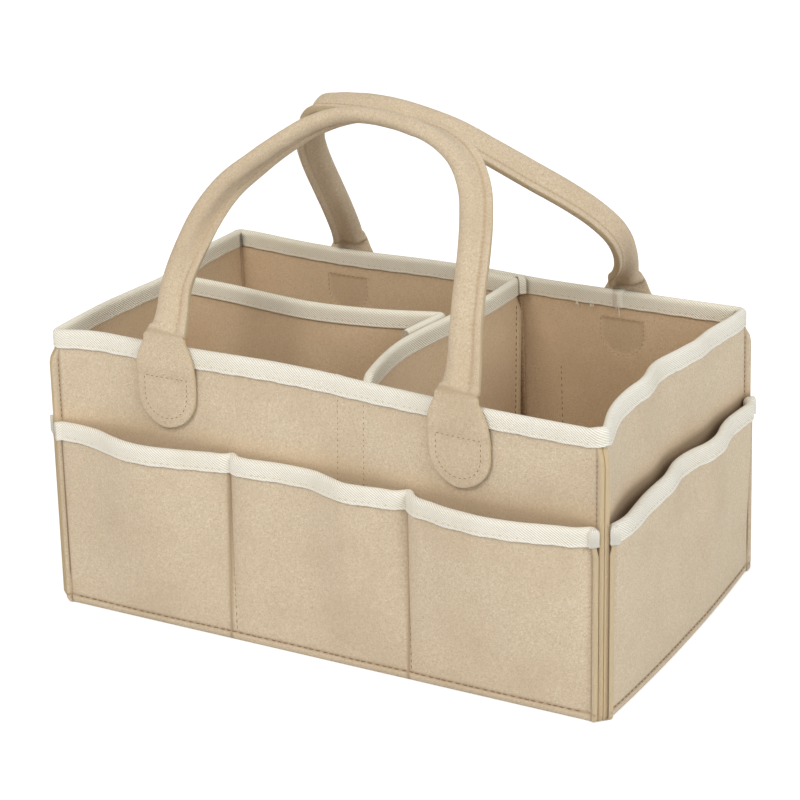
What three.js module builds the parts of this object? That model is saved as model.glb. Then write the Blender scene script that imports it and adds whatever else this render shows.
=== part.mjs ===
import * as THREE from 'three';

// A felt caddy: an open box of sewn felt walls with pockets outside, two folded
// felt handles and a removable cross divider and long divider inside.
// Millimetres, +Z up, +X along the box and +Y to its back, origin under its middle.

// Overall size
const LENGTH = 380;
const DEPTH = 242;
const RIM_HEIGHT = 184.5;
const POCKET_HEIGHT = 125;

// Felt, tape and the small gaps between sewn layers
const FELT = 3;
const TAPE = 1;
const TAPE_WIDTH = 11.5;
const TAPE_SHOULDER = 0.9;
const SEWN_GAP = 0.3;
const TAPE_GAP = 0.45;
const FLOOR_GAP = 0.7;

// Corner seams: the raw edges stand out along the diagonal and fade out below the rim tape
const SEAM_RUN = 6.5;
const SEAM_STUB = 1.3;
const SEAM_FADE = 18;
const CORNER_ROUNDING = 2;
const CORNER_RUN = 3.5;

// How the soft box hangs: front and back batter inwards, the rim leans to the left,
// the end walls belly at the base, and each wall bows inwards at the rim
const BATTER = 4;
const LEAN = 4.3;
const END_BELLY = 3.5;
const FRONT_BOW = 11.7;
const BACK_BOW = 5.5;
const LEFT_BOW = 6;
const RIGHT_BOW = 16;

// Pockets: places of the two sewn divisions, and how far each mouth swells
const DIVISION_LEFT = 60;
const DIVISION_RIGHT = 65;
const FRONT_MOUTHS = [12.5, 7, 14.5];
const BACK_MOUTHS = [12.5, 7, 15.7];
const RIGHT_MOUTH = 12;
const LEFT_MOUTH = 6.5;

// Handle tabs
const FRONT_TAB_PLACES = [-106.5, 97.5];
const BACK_TAB_PLACES = [-99.7, 103.8];
const FRONT_NECK_SHIFT = -2.5;
const BACK_NECK_SHIFT = 1.7;
const TAB_WIDTH = 42;
const TAB_BOTTOM = 133;
const TAB_SHOULDER_HEIGHT = 170;
const NECK_WIDTH = 22;
const NECK_HEIGHT = 193;
const NECK_GAP = 2.2;
const TAB_GAP = 0.4;
const TAB_STEP_LOW = 163;
const TAB_STEP_HIGH = 171.5;

// Handles: a felt strip folded round a core, with its sewn edges as a fin
const FIN_TURN_START = THREE.MathUtils.degToRad(-64);
const FIN_TURN_END = THREE.MathUtils.degToRad(90);
const FRONT_RISE = 158;
const BACK_RISE = 157;
const SLEEVE_FELT = 2.5;
const CORE_WIDTH = 8;
const CORE_THICKNESS = 4.4;
const FIN_REACH = 12.5;
const FIN_ROOT = 7;
const SLEEVE_START = 0.6;
const SLEEVE_PROUD = 0.5;
const FRONT_HANDLE_LEAN = THREE.MathUtils.degToRad(34);
const BACK_HANDLE_LEAN = THREE.MathUtils.degToRad(36);
const HANDLE_STEPS = 28;
const TAB_FIRST_TURN = THREE.MathUtils.degToRad(18);

// Dividers: the cross divider sways to the left between its ends, and the long
// divider runs from the left wall to a flap that lies on the cross divider's face
const CROSS_LEFTMOST = 17;
const CROSS_SWAY = 13;
const CROSS_FLAP = 23;
const CROSS_SEAM = 5.2;
const CROSS_LANDING = 6;
const LONG_MIDDLE = 2;
const LONG_SWAY = 19;
const LONG_FLAP = 40;
const LONG_END_FLAP = 22;
const LONG_LEFT_PLACE = 12;

// Hook and loop strips that hold the dividers
const WALL_STRIP_WIDTH = 22;
const WALL_STRIP_PLACE = 22;
const STRIP_BOTTOM = 62;
const STRIP_DROP = 3;

// Inward bow of each wall's rim, from one corner to the next against the clock
const frontBowShares = [
  [-1, 0], [-0.96, 0.04], [-0.83, 0.48], [-0.67, 0.72], [-0.35, 0.78], [0, 0.97],
  [0.28, 0.5], [0.5, 0.18], [0.8, 0.06], [0.96, 0.01], [1, 0],
];
const rightBowShares = [
  [-1, 0], [-0.96, 0.03], [-0.85, 0.36], [-0.7, 0.65], [-0.4, 0.9], [0, 1],
  [0.3, 0.8], [0.6, 0.48], [0.85, 0.2], [0.96, 0.02], [1, 0],
];
const backBowShares = [
  [-1, 0], [-0.96, 0.02], [-0.75, 0.4], [-0.5, 0.85], [-0.25, 0.75], [-0.05, 0.2],
  [0.15, 0.3], [0.45, 1], [0.75, 0.7], [0.96, 0.03], [1, 0],
];
const leftBowShares = [
  [-1, 0], [-0.96, 0], [-0.65, -0.2], [-0.33, 0.35], [-0.05, 1], [0.25, 0.5],
  [0.5, 0.1], [0.75, 0], [1, 0],
];

// Mouth of an end pocket: a shallow swell, a tight place and a wide one
const endMouthShares = [
  [-1, 0], [-0.9, 0.35], [-0.7, 0.57], [-0.46, 0.35], [-0.25, 0.06], [-0.06, 0.02],
  [0.11, 0.42], [0.27, 0.96], [0.43, 1], [0.63, 0.72], [0.83, 0.38], [1, 0],
];

// Share of each bow that has built up at a height, as a power of that height
const longBowPowerShare = 2.3;
const rightBowPowerShare = 1.15;

// Rows of the walls below their seams' fade, and of the pockets, as shares of their heights
const wallRowShares = [0, 0.24, 0.48, 0.68];
const pocketRowShares = [0, 0.35, 0.7, 0.9, 1];

// Handle centrelines in their leaning planes, from the left neck to the right one as seen from
// outside: across as a share of the spread, up as a share of the rise
const frontHandleShares = [
  [-1.028, 0], [-1.03, 0.06], [-1.065, 0.2], [-1.045, 0.38], [-0.99, 0.53], [-0.9, 0.646],
  [-0.76, 0.747], [-0.61, 0.842], [-0.44, 0.93], [-0.25, 0.985], [-0.03, 1], [0.19, 0.987],
  [0.4, 0.956], [0.585, 0.886], [0.71, 0.778], [0.775, 0.658], [0.82, 0.53], [0.86, 0.38],
  [0.9, 0.25], [0.965, 0.06], [0.972, 0],
];
const backHandleShares = [
  [-1.02, 0], [-1.03, 0.06], [-1.056, 0.126], [-1.078, 0.215], [-1.079, 0.3], [-1.056, 0.366],
  [-0.958, 0.473], [-0.813, 0.57], [-0.621, 0.671], [-0.387, 0.791], [-0.185, 0.89], [0.01, 0.946],
  [0.164, 0.976], [0.341, 0.99], [0.517, 0.984], [0.606, 0.971], [0.699, 0.946], [0.797, 0.864],
  [0.851, 0.81], [0.939, 0.631], [0.949, 0.505], [0.944, 0.379], [0.942, 0.22], [0.955, 0.076],
  [0.975, 0],
];

// Sway of the cross divider from front to back, and of the long divider from left to right
const crossSwayShares = [
  [-1, 0.72], [-0.9, 0.6], [-0.68, 0.25], [-0.3, 0], [-0.08, 0.2],
  [0.2, 0.55], [0.57, 0.89], [1, 1],
];
const longSwayShares = [
  [0, 0.5], [0.1, 0.45], [0.24, 0.34], [0.4, 0.12], [0.55, 0],
  [0.7, 0.15], [0.83, 0.43], [0.95, 0.84], [1, 1],
];

// Derived places
const DIAGONAL = Math.SQRT1_2;
const cornerX = LENGTH / 2 - SEAM_RUN * DIAGONAL;
const cornerY = DEPTH / 2 - SEAM_RUN * DIAGONAL;
const tapeProud = TAPE_GAP + TAPE;
const wallTop = RIM_HEIGHT - TAPE - SEWN_GAP;
const pocketTop = POCKET_HEIGHT - TAPE - SEWN_GAP;
const mouthGap = TAPE_GAP + tapeProud;
const seamReach = (CROSS_SEAM + SEWN_GAP / 2 + FELT) * DIAGONAL - FELT;
const standOff = Math.max(seamReach, tapeProud) + SEWN_GAP + tapeProud;
const strip = (standOff - 3 * SEWN_GAP) / 2;
const stripTop = RIM_HEIGHT - TAPE_WIDTH - STRIP_DROP;
const floorTop = FELT + SEWN_GAP;
const fadeEnd = RIM_HEIGHT - TAPE_WIDTH - SEWN_GAP;
const fadeStart = fadeEnd - SEAM_FADE;

const feltLook = { color: 0xd2bca0, roughness: 0.95, metalness: 0 };
const shadedFeltLook = { color: 0xc4ae92, roughness: 0.95, metalness: 0 };
const handleLook = { color: 0xcdb595, roughness: 0.95, metalness: 0 };
const tapeLook = { color: 0xe1dbce, roughness: 0.9, metalness: 0 };
const cordLook = { color: 0xe6dfd0, roughness: 0.9, metalness: 0 };
const stripLook = { color: 0xc9b89c, roughness: 0.85, metalness: 0 };

const caddy = new THREE.Group();

function addPiece(name, geometry, look) {
  const mesh = new THREE.Mesh(geometry, new THREE.MeshStandardMaterial(look));
  mesh.name = name;
  caddy.add(mesh);
}

// A smooth curve through a table of shares
function shareCurve(shares) {
  const places = shares.map((pair) => pair[0]);
  const values = shares.map((pair) => pair[1]);
  const interpolant = new THREE.CubicInterpolant(places, values, 1);
  return (place) => interpolant.evaluate(place)[0];
}

// A closed solid from its points and faces, with the faces turned outwards
function solidFrom(points, faces) {
  let volume = 0;
  for (const [a, b, c] of faces) {
    const cross = new THREE.Vector3().crossVectors(points[b], points[c]);
    volume += points[a].dot(cross);
  }
  const turned = volume > 0 ? faces : faces.map(([a, b, c]) => [a, c, b]);
  const geometry = new THREE.BufferGeometry();
  const values = points.flatMap((point) => [point.x, point.y, point.z]);
  geometry.setAttribute('position', new THREE.Float32BufferAttribute(values, 3));
  geometry.setIndex(turned.flat());
  geometry.computeVertexNormals();
  return geometry;
}

// A sheet of felt between two grids of points that face each other, row by row
function sheetSolid(nearGrid, farGrid) {
  const rows = nearGrid.length;
  const columns = nearGrid[0].length;
  const points = [...nearGrid.flat(), ...farGrid.flat()];
  const near = (row, column) => row * columns + column;
  const far = (row, column) => rows * columns + near(row, column);
  const faces = [];
  const addQuad = (a, b, c, d) => faces.push([a, b, c], [a, c, d]);
  for (let row = 0; row < rows - 1; row += 1) {
    for (let column = 0; column < columns - 1; column += 1) {
      const up = row + 1;
      const on = column + 1;
      addQuad(near(row, column), near(row, on), near(up, on), near(up, column));
      addQuad(far(row, column), far(up, column), far(up, on), far(row, on));
    }
    addQuad(near(row, 0), near(row + 1, 0), far(row + 1, 0), far(row, 0));
    const end = columns - 1;
    addQuad(near(row, end), far(row, end), far(row + 1, end), near(row + 1, end));
  }
  for (let column = 0; column < columns - 1; column += 1) {
    const top = rows - 1;
    addQuad(near(0, column), far(0, column), far(0, column + 1), near(0, column + 1));
    addQuad(near(top, column), near(top, column + 1), far(top, column + 1), far(top, column));
  }
  return solidFrom(points, faces);
}

// A solid lofted through rings of points, closed on itself or capped by a flat outline's triangles
function loftSolid(rings, outline) {
  const size = rings[0].length;
  const points = rings.flat();
  const faces = [];
  const closed = outline === undefined;
  const spans = closed ? rings.length : rings.length - 1;
  for (let span = 0; span < spans; span += 1) {
    const here = span * size;
    const next = ((span + 1) % rings.length) * size;
    for (let corner = 0; corner < size; corner += 1) {
      const on = (corner + 1) % size;
      faces.push([here + corner, here + on, next + on]);
      faces.push([here + corner, next + on, next + corner]);
    }
  }
  if (!closed) {
    const flat = outline.map(([across, up]) => new THREE.Vector2(across, up));
    const last = (rings.length - 1) * size;
    const turned = THREE.ShapeUtils.isClockWise(flat);
    for (const [a, b, c] of THREE.ShapeUtils.triangulateShape(flat, [])) {
      faces.push(turned ? [a, b, c] : [c, b, a]);
      faces.push(turned ? [last + c, last + b, last + a] : [last + a, last + b, last + c]);
    }
  }
  return solidFrom(points, faces);
}

// Even steps between two values, without the first
function stepsTo(from, to, count) {
  return Array.from({ length: count }, (unused, step) => from + ((to - from) * (step + 1)) / count);
}

// The four sides in turn, front first and then against the clock
function makeSide(along, out, isEnd, bow, power, shares, belly, divisions, mouths) {
  const run = isEnd ? cornerY : cornerX;
  const edge = 1 - CORNER_RUN / run;
  const stops = [...divisions.map((place) => place / run), edge];
  const counts = isEnd ? [10] : [6, 6, 6];
  const stations = [-1, -edge];
  stops.forEach((stop, index) => stations.push(...stepsTo(stations.at(-1), stop, counts[index])));
  stations.push(1);
  const bowShape = shareCurve(shares);
  return { along, out, isEnd, bow, power, bowShape, belly, divisions, mouths, stations };
}

const frontSide = makeSide([1, 0], [0, -1], false, FRONT_BOW, longBowPowerShare,
  frontBowShares, 0, [-DIVISION_LEFT, DIVISION_RIGHT], FRONT_MOUTHS);
const rightSide = makeSide([0, 1], [1, 0], true, RIGHT_BOW, rightBowPowerShare,
  rightBowShares, END_BELLY, [], [RIGHT_MOUTH]);
const backSide = makeSide([-1, 0], [0, 1], false, BACK_BOW, longBowPowerShare,
  backBowShares, 0, [-DIVISION_LEFT, DIVISION_RIGHT], BACK_MOUTHS);
const leftSide = makeSide([0, -1], [-1, 0], true, LEFT_BOW, longBowPowerShare,
  leftBowShares, END_BELLY, [], [LEFT_MOUTH]);
const sides = { front: frontSide, right: rightSide, back: backSide, left: leftSide };

const endMouthShape = shareCurve(endMouthShares);

function heightShare(z) {
  return Math.min(z / RIM_HEIGHT, 1);
}

function leanAt(z) {
  return LEAN * (POCKET_HEIGHT / RIM_HEIGHT - heightShare(z));
}

function depthAt(z) {
  return cornerY - BATTER * heightShare(z);
}

function place(side, run, out, z) {
  const x = side.along[0] * run + side.out[0] * out + leanAt(z);
  const y = side.along[1] * run + side.out[1] * out;
  return new THREE.Vector3(x, y, z);
}

// Run along a side at which a layer folds into the corner seam
function foldRun(side, offset, z) {
  const run = side.isEnd ? depthAt(z) : cornerX;
  return run + offset - Math.SQRT2 * (SEWN_GAP / 2 + offset);
}

// A point of a layer: a share of the way along its side, an offset out from the wall's inner face
function facePoint(side, share, offset, z, swell = 0) {
  const reach = side.isEnd ? cornerX : depthAt(z);
  const bow = side.bow * side.bowShape(share) * heightShare(z) ** side.power;
  const belly = side.belly * (1 - share * share) * (1 - heightShare(z));
  return place(side, share * foldRun(side, offset, z), reach + offset - bow + belly + swell, z);
}

// A point of a layer where it stands out along the corner's diagonal, at the end +1 or -1
function seamPoint(side, end, offset, z, stand) {
  const reach = side.isEnd ? cornerX : depthAt(z);
  const run = side.isEnd ? depthAt(z) : cornerX;
  const aside = SEWN_GAP / 2 + offset;
  return place(side, end * (run + (stand - aside) * DIAGONAL), reach + (stand + aside) * DIAGONAL, z);
}

function seamStand(z, full) {
  const fade = (fadeEnd - z) / SEAM_FADE;
  return SEAM_STUB + (full - SEAM_STUB) * THREE.MathUtils.clamp(fade, 0, 1);
}

// One row of a layer from seam tip to seam tip
function layerRow(side, offset, z, stand, swellAt) {
  const faces = side.stations.map((share) => facePoint(side, share, offset, z, swellAt(share)));
  return [seamPoint(side, -1, offset, z, stand), ...faces, seamPoint(side, 1, offset, z, stand)];
}

// A point on a layer's own facets, at a run along its side
function onLayer(side, run, offset, z) {
  const share = run / foldRun(side, offset, z);
  const next = Math.max(side.stations.findIndex((station) => station >= share), 1);
  const from = side.stations[next - 1];
  const part = (share - from) / (side.stations[next] - from);
  return facePoint(side, from, offset, z).lerp(facePoint(side, side.stations[next], offset, z), part);
}

// How far a pocket stands off its wall, more towards its mouth
function mouthSwell(side, share, z) {
  const open = Math.sin((Math.PI / 2) * Math.min(z / POCKET_HEIGHT, 1));
  if (side.isEnd) {
    return side.mouths[0] * endMouthShape(share) * open;
  }
  const stops = [-1, ...side.divisions.map((division) => division / cornerX), 1];
  const pocket = Math.max(stops.findIndex((stop) => share <= stop), 1);
  const across = (share - stops[pocket - 1]) / (stops[pocket] - stops[pocket - 1]);
  return side.mouths[pocket - 1] * Math.sin(Math.PI * across) * open;
}

function pocketOffset(z) {
  const open = Math.min(z / (POCKET_HEIGHT - TAPE_WIDTH - SEWN_GAP), 1);
  return FELT + SEWN_GAP + (mouthGap - SEWN_GAP) * open;
}

// Section of a folded tape over an edge, as pairs of offset and height
function tapeSection(innerFace, outerFace, top) {
  const bottom = top - TAPE_WIDTH;
  const inner = innerFace - tapeProud;
  const outer = outerFace + tapeProud;
  return [
    [outer, bottom], [outer, top - TAPE_SHOULDER], [outer - TAPE_SHOULDER, top],
    [inner + TAPE_SHOULDER, top], [inner, top - TAPE_SHOULDER], [inner, bottom],
    [innerFace - TAPE_GAP, bottom], [innerFace - TAPE_GAP, top - TAPE],
    [outerFace + TAPE_GAP, top - TAPE], [outerFace + TAPE_GAP, bottom],
  ];
}

function addWall(name, side) {
  const rows = [...wallRowShares.map((share) => share * wallTop), fadeStart, fadeEnd, wallTop];
  const still = () => 0;
  const inner = rows.map((z) => layerRow(side, 0, z, seamStand(z, SEAM_RUN), still));
  const outer = rows.map((z) => layerRow(side, FELT, z, seamStand(z, SEAM_RUN), still));
  addPiece(`${name}_wall`, sheetSolid(inner, outer), side.isEnd ? shadedFeltLook : feltLook);
}

function addPocket(name, side) {
  const rows = pocketRowShares.map((share) => share * pocketTop);
  const rowAt = (thickness) => (z) => {
    const swellAt = (share) => mouthSwell(side, share, z);
    return layerRow(side, pocketOffset(z) + thickness, z, SEAM_RUN, swellAt);
  };
  const look = side.isEnd ? shadedFeltLook : feltLook;
  addPiece(`${name}_pocket`, sheetSolid(rows.map(rowAt(0)), rows.map(rowAt(FELT))), look);
}

function addPocketBinding(name, side) {
  const face = FELT + mouthGap;
  const section = tapeSection(face, face + FELT, POCKET_HEIGHT);
  const lines = section.map(([offset, z]) => {
    const swellAt = (share) => mouthSwell(side, share, z);
    return layerRow(side, offset, z, SEAM_RUN, swellAt);
  });
  const rings = lines[0].map((unused, column) => lines.map((line) => line[column]));
  addPiece(`${name}_pocket_binding`, loftSolid(rings, section), tapeLook);
}

// Quarter round of a tape's corner from one side to the next
function cornerArc(side, offset, z) {
  const run = (side.isEnd ? depthAt(z) : cornerX) - CORNER_ROUNDING;
  const reach = (side.isEnd ? cornerX : depthAt(z)) - CORNER_ROUNDING;
  const radius = CORNER_ROUNDING + offset;
  return [0, ...stepsTo(0, Math.PI / 2, 4)].map((turn) => {
    return place(side, run + radius * Math.sin(turn), reach + radius * Math.cos(turn), z);
  });
}

function addRimBinding() {
  const section = tapeSection(0, FELT, RIM_HEIGHT);
  const lines = section.map(([offset, z]) => Object.values(sides).flatMap((side) => {
    const faces = side.stations.slice(1, -1).map((share) => facePoint(side, share, offset, z));
    return [...faces, ...cornerArc(side, offset, z)];
  }));
  const rings = lines[0].map((unused, column) => lines.map((line) => line[column]));
  addPiece('rim_binding', loftSolid(rings), tapeLook);
}

// A solid that stands straight up on an outline
function prism(outline, bottom, top) {
  const shape = new THREE.Shape(outline.map((point) => new THREE.Vector2(point.x, point.y)));
  const geometry = new THREE.ExtrudeGeometry(shape, { depth: top - bottom, bevelEnabled: false });
  geometry.translate(0, 0, bottom);
  return geometry;
}

function addBottomPanel() {
  const outline = Object.values(sides).flatMap((side) => {
    return side.stations.slice(1, -1).map((share) => facePoint(side, share, -FLOOR_GAP, 0));
  });
  addPiece('bottom_panel', prism(outline, 0, FELT), feltLook);
}

// Half width of a handle tab: a round bottom, straight sides and shoulders drawn in to the neck
function tabRows() {
  const radius = TAB_WIDTH / 2;
  const centre = TAB_BOTTOM + radius;
  const round = [TAB_FIRST_TURN, ...stepsTo(TAB_FIRST_TURN, Math.PI / 2, 3)].map((angle) => {
    return [centre - radius * Math.cos(angle), radius * Math.sin(angle)];
  });
  const neckTop = NECK_HEIGHT - NECK_GAP;
  const shoulderRows = stepsTo(0, 1, 3).map((share) => {
    const drawnIn = (1 - Math.cos(Math.PI * share)) / 2;
    const half = radius + (NECK_WIDTH / 2 - radius) * drawnIn;
    return [TAB_SHOULDER_HEIGHT + (neckTop - TAB_SHOULDER_HEIGHT) * share, half];
  });
  const straight = [TAB_STEP_LOW, TAB_STEP_HIGH, TAB_SHOULDER_HEIGHT].map((z) => [z, radius]);
  return [...round, ...straight, ...shoulderRows];
}

function tabOffset(z) {
  const share = THREE.MathUtils.clamp((z - TAB_STEP_LOW) / (TAB_STEP_HIGH - TAB_STEP_LOW), 0, 1);
  const low = FELT + TAB_GAP;
  const high = FELT + tapeProud + TAB_GAP;
  return low + (high - low) * share;
}

// A point on a side at a given x, whatever the box's lean
function tabPoint(side, x, offset, z) {
  return onLayer(side, side.along[0] * (x - leanAt(z)), offset, z);
}

function addTab(name, side, middle, neckShift) {
  const acrossShares = [-1, -0.5, 0, 0.5, 1];
  const gridAt = (thickness) => tabRows().map(([z, half]) => acrossShares.map((share) => {
    const aside = neckShift * (z - TAB_BOTTOM) / (NECK_HEIGHT - TAB_BOTTOM);
    return tabPoint(side, middle + aside + share * half, tabOffset(z) + thickness, z);
  }));
  addPiece(name, sheetSolid(gridAt(0), gridAt(FELT)), handleLook);
}

// Outline of the folded strip round the core, the fin's two edges at its open end
function sleeveOutline() {
  const boreWide = CORE_WIDTH / 2 + SEWN_GAP;
  const boreThick = CORE_THICKNESS / 2 + SEWN_GAP;
  const slit = SEWN_GAP / 2;
  const finThick = slit + SLEEVE_FELT;
  const onEllipse = (wide, thick) => (angle) => [wide * Math.cos(angle), thick * Math.sin(angle)];
  const outerShares = [0.27, 0.5, 0.75, 1, 1.25, 1.5, 1.73];
  const innerShares = [1.75, 1.5, 1.25, 1, 0.75, 0.5, 0.25];
  const outer = outerShares.map((share) => share * Math.PI);
  const inner = innerShares.map((share) => share * Math.PI);
  return [
    [FIN_REACH, finThick], [FIN_ROOT, finThick],
    ...outer.map(onEllipse(boreWide + SLEEVE_FELT, boreThick + SLEEVE_FELT)),
    [FIN_ROOT, -finThick], [FIN_REACH, -finThick],
    [FIN_REACH, -slit], [boreWide, -slit],
    ...inner.map(onEllipse(boreWide, boreThick)),
    [boreWide, slit], [FIN_REACH, slit],
  ];
}

function coreOutline() {
  return stepsTo(0, 2 * Math.PI, 8).map((angle) => {
    return [(CORE_WIDTH / 2) * Math.cos(angle), (CORE_THICKNESS / 2) * Math.sin(angle)];
  });
}

// Frames along a handle: its fin starts mostly towards the handle's middle at the left
// neck, soon faces into the box, and stands outwards at the right neck, as seen from
// outside the side that carries it
function handleFrames(side, necks, shares, rise, lean) {
  const hinge = (side.along[0] > 0 ? necks : [...necks].reverse()).map((x) => {
    return tabPoint(side, x, tabOffset(NECK_HEIGHT) + FELT, NECK_HEIGHT);
  });
  const spread = hinge[0].distanceTo(hinge[1]) / 2;
  const middle = new THREE.Vector3().addVectors(hinge[0], hinge[1]).multiplyScalar(1 / 2);
  const across = new THREE.Vector3().subVectors(hinge[1], hinge[0]).normalize();
  const inward = new THREE.Vector3(0, 0, 1).cross(across);
  const up = new THREE.Vector3(0, 0, Math.cos(lean)).addScaledVector(inward, Math.sin(lean));
  const normal = inward.clone().multiplyScalar(Math.cos(lean));
  normal.z -= Math.sin(lean);
  const inset = CORE_THICKNESS / 2 + SEWN_GAP + SLEEVE_FELT - SLEEVE_PROUD;
  const base = middle.clone().addScaledVector(normal, inset).addScaledVector(up, SLEEVE_START);
  const curve = new THREE.CatmullRomCurve3(shares.map(([crossShare, upShare]) => {
    return base.clone()
      .addScaledVector(across, crossShare * spread)
      .addScaledVector(up, upShare * rise);
  }));
  return Array.from({ length: HANDLE_STEPS + 1 }, (unused, step) => {
    const share = step / HANDLE_STEPS;
    const tangent = curve.getTangentAt(share);
    if (step === 0) tangent.copy(up);
    if (step === HANDLE_STEPS) tangent.copy(up).negate();
    const outside = new THREE.Vector3().crossVectors(tangent, normal);
    const turned = Math.sin(Math.PI / 2 * share);
    const twist = THREE.MathUtils.lerp(FIN_TURN_START, FIN_TURN_END, turned);
    const fin = normal.clone()
      .multiplyScalar(Math.cos(twist))
      .addScaledVector(outside, Math.sin(twist));
    const flat = new THREE.Vector3().crossVectors(tangent, fin);
    return { centre: curve.getPointAt(share), fin, flat };
  });
}

function loftAlong(frames, outline) {
  const rings = frames.map(({ centre, fin, flat }) => outline.map(([along, thick]) => {
    return centre.clone().addScaledVector(fin, along).addScaledVector(flat, thick);
  }));
  return loftSolid(rings, outline);
}

function addHandle(name, side, tabs, neckShift, shares, rise, lean) {
  const frames = handleFrames(side, tabs.map((x) => x + neckShift), shares, rise, lean);
  addPiece(`${name}_handle`, loftAlong(frames, sleeveOutline()), handleLook);
  addPiece(`${name}_handle_core`, loftAlong(frames, coreOutline()), cordLook);
  addTab(`${name}_left_tab`, side, tabs[0], neckShift);
  addTab(`${name}_right_tab`, side, tabs[1], neckShift);
}

// A plan path set off to its left, with mitred bends
function offsetPath(path, distance) {
  return path.map((point, index) => {
    const before = path[Math.max(index - 1, 0)];
    const after = path[Math.min(index + 1, path.length - 1)];
    const arrive = index > 0 ? point.clone().sub(before).normalize() : null;
    const leave = index < path.length - 1 ? after.clone().sub(point).normalize() : null;
    const first = arrive ?? leave;
    const second = leave ?? arrive;
    const bisector = first.clone().add(second).normalize();
    const aside = new THREE.Vector2(-bisector.y, bisector.x);
    const square = new THREE.Vector2(-first.y, first.x);
    return point.clone().addScaledVector(aside, distance / aside.dot(square));
  });
}

// A plan path's corner, rounded by a quarter of a circle or less
function roundedCorner(before, corner, after, radius) {
  const arrive = corner.clone().sub(before).normalize();
  const leave = after.clone().sub(corner).normalize();
  const turn = Math.acos(THREE.MathUtils.clamp(arrive.dot(leave), -1, 1));
  const side = Math.sign(arrive.cross(leave));
  const reach = radius * Math.tan(turn / 2);
  const start = corner.clone().addScaledVector(arrive, -reach);
  const centre = start.clone().add(new THREE.Vector2(-arrive.y, arrive.x).multiplyScalar(side * radius));
  return [0, ...stepsTo(0, side * turn, 4)].map((angle) => start.clone().rotateAround(centre, angle));
}

function planOf(point) {
  return new THREE.Vector2(point.x, point.y);
}

function panelAlong(path, bottom, top) {
  const left = offsetPath(path, FELT / 2);
  const right = offsetPath(path, -FELT / 2);
  return prism([...right, ...left.reverse()], bottom, top);
}

function bindingAlong(path) {
  const section = tapeSection(-FELT / 2, FELT / 2, RIM_HEIGHT);
  const lines = section.map(([offset, z]) => {
    return offsetPath(path, offset).map((point) => new THREE.Vector3(point.x, point.y, z));
  });
  const rings = lines[0].map((unused, column) => lines.map((line) => line[column]));
  return loftSolid(rings, section);
}

// Middle of a divider flap that lies along a side, and a divider's path between its end flaps
const flapMiddle = -(standOff + FELT / 2);
const bendRadius = CORNER_ROUNDING + FELT / 2;
const crossSway = shareCurve(crossSwayShares);
const longSway = shareCurve(longSwayShares);

// A plan point at an offset from a side's inner face at the rim, for a given x or y
function besideSide(side, x, y, offset) {
  const run = side.along[0] * (x - leanAt(RIM_HEIGHT)) + side.along[1] * y;
  return planOf(onLayer(side, run, offset, RIM_HEIGHT));
}

function crossPoint(share, halfDepth) {
  return new THREE.Vector2(CROSS_LEFTMOST + CROSS_SWAY * crossSway(share), share * halfDepth);
}

// A flap of the cross divider, from its free end to the corner it shares with the divider,
// which it meets square after a short landing
function crossFlapPath(side, cornerPlace) {
  const free = [0, ...stepsTo(0, 1, 2)].map((share) => {
    const x = cornerPlace - CROSS_LANDING - (CROSS_FLAP - CROSS_LANDING) * (1 - share);
    return besideSide(side, x, 0, flapMiddle);
  });
  const corner = besideSide(side, cornerPlace, 0, flapMiddle);
  const clear = Math.min(Math.abs(corner.y), Math.abs(free.at(-1).y));
  corner.y = side.out[1] * clear;
  free.at(-1).y = corner.y;
  return [...free, corner];
}

const crossHalf = depthAt(RIM_HEIGHT) + flapMiddle;
const frontFlap = crossFlapPath(frontSide, crossPoint(-1, crossHalf).x);
const backFlap = crossFlapPath(backSide, crossPoint(1, crossHalf).x);
const crossMiddle = [
  frontFlap.at(-1).clone().add(new THREE.Vector2(0, CROSS_LANDING)),
  ...stepsTo(-1, 1, 18).slice(1, -2).map((share) => {
    return crossPoint(share, share < 0 ? -frontFlap.at(-1).y : backFlap.at(-1).y);
  }),
  backFlap.at(-1).clone().sub(new THREE.Vector2(0, CROSS_LANDING)),
];

const toFlap = new THREE.Vector2(-1, 0);
const toFront = new THREE.Vector2(0, -1);
const toBack = new THREE.Vector2(0, 1);

// Where a panel folds out into a corner seam: the seam's tip and its fold
function seamEnd(corner, toOwn, toOther, stand) {
  const outward = toOwn.clone().add(toOther).multiplyScalar(-DIAGONAL);
  const aside = toOwn.clone().sub(toOther).multiplyScalar(DIAGONAL);
  const distance = (SEWN_GAP + FELT) / 2;
  const start = corner.clone().addScaledVector(toOwn, FELT / 2)
    .addScaledVector(toOther, FELT / 2)
    .addScaledVector(aside, distance);
  const fold = start.clone().addScaledVector(outward, Math.SQRT2 * (FELT / 2) - distance);
  return [start.addScaledVector(outward, stand), fold];
}

// A standing panel whose seams fade out below its top tape
function seamedPanel(pathAt) {
  const rows = [floorTop, fadeStart, fadeEnd, wallTop];
  const gridAt = (distance) => rows.map((z) => {
    return offsetPath(pathAt(seamStand(z, CROSS_SEAM)), distance)
      .map((point) => new THREE.Vector3(point.x, point.y, z));
  });
  return sheetSolid(gridAt(-FELT / 2), gridAt(FELT / 2));
}

// A hook or loop strip on a panel's face, as wide along the path as the path itself
function stripAlong(path, side) {
  const near = offsetPath(path, side * (FELT / 2 + SEWN_GAP));
  const far = offsetPath(path, side * (FELT / 2 + SEWN_GAP + strip));
  const outline = side > 0 ? [...near, ...far.reverse()] : [...far, ...near.reverse()];
  return prism(outline, STRIP_BOTTOM, stripTop);
}

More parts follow.
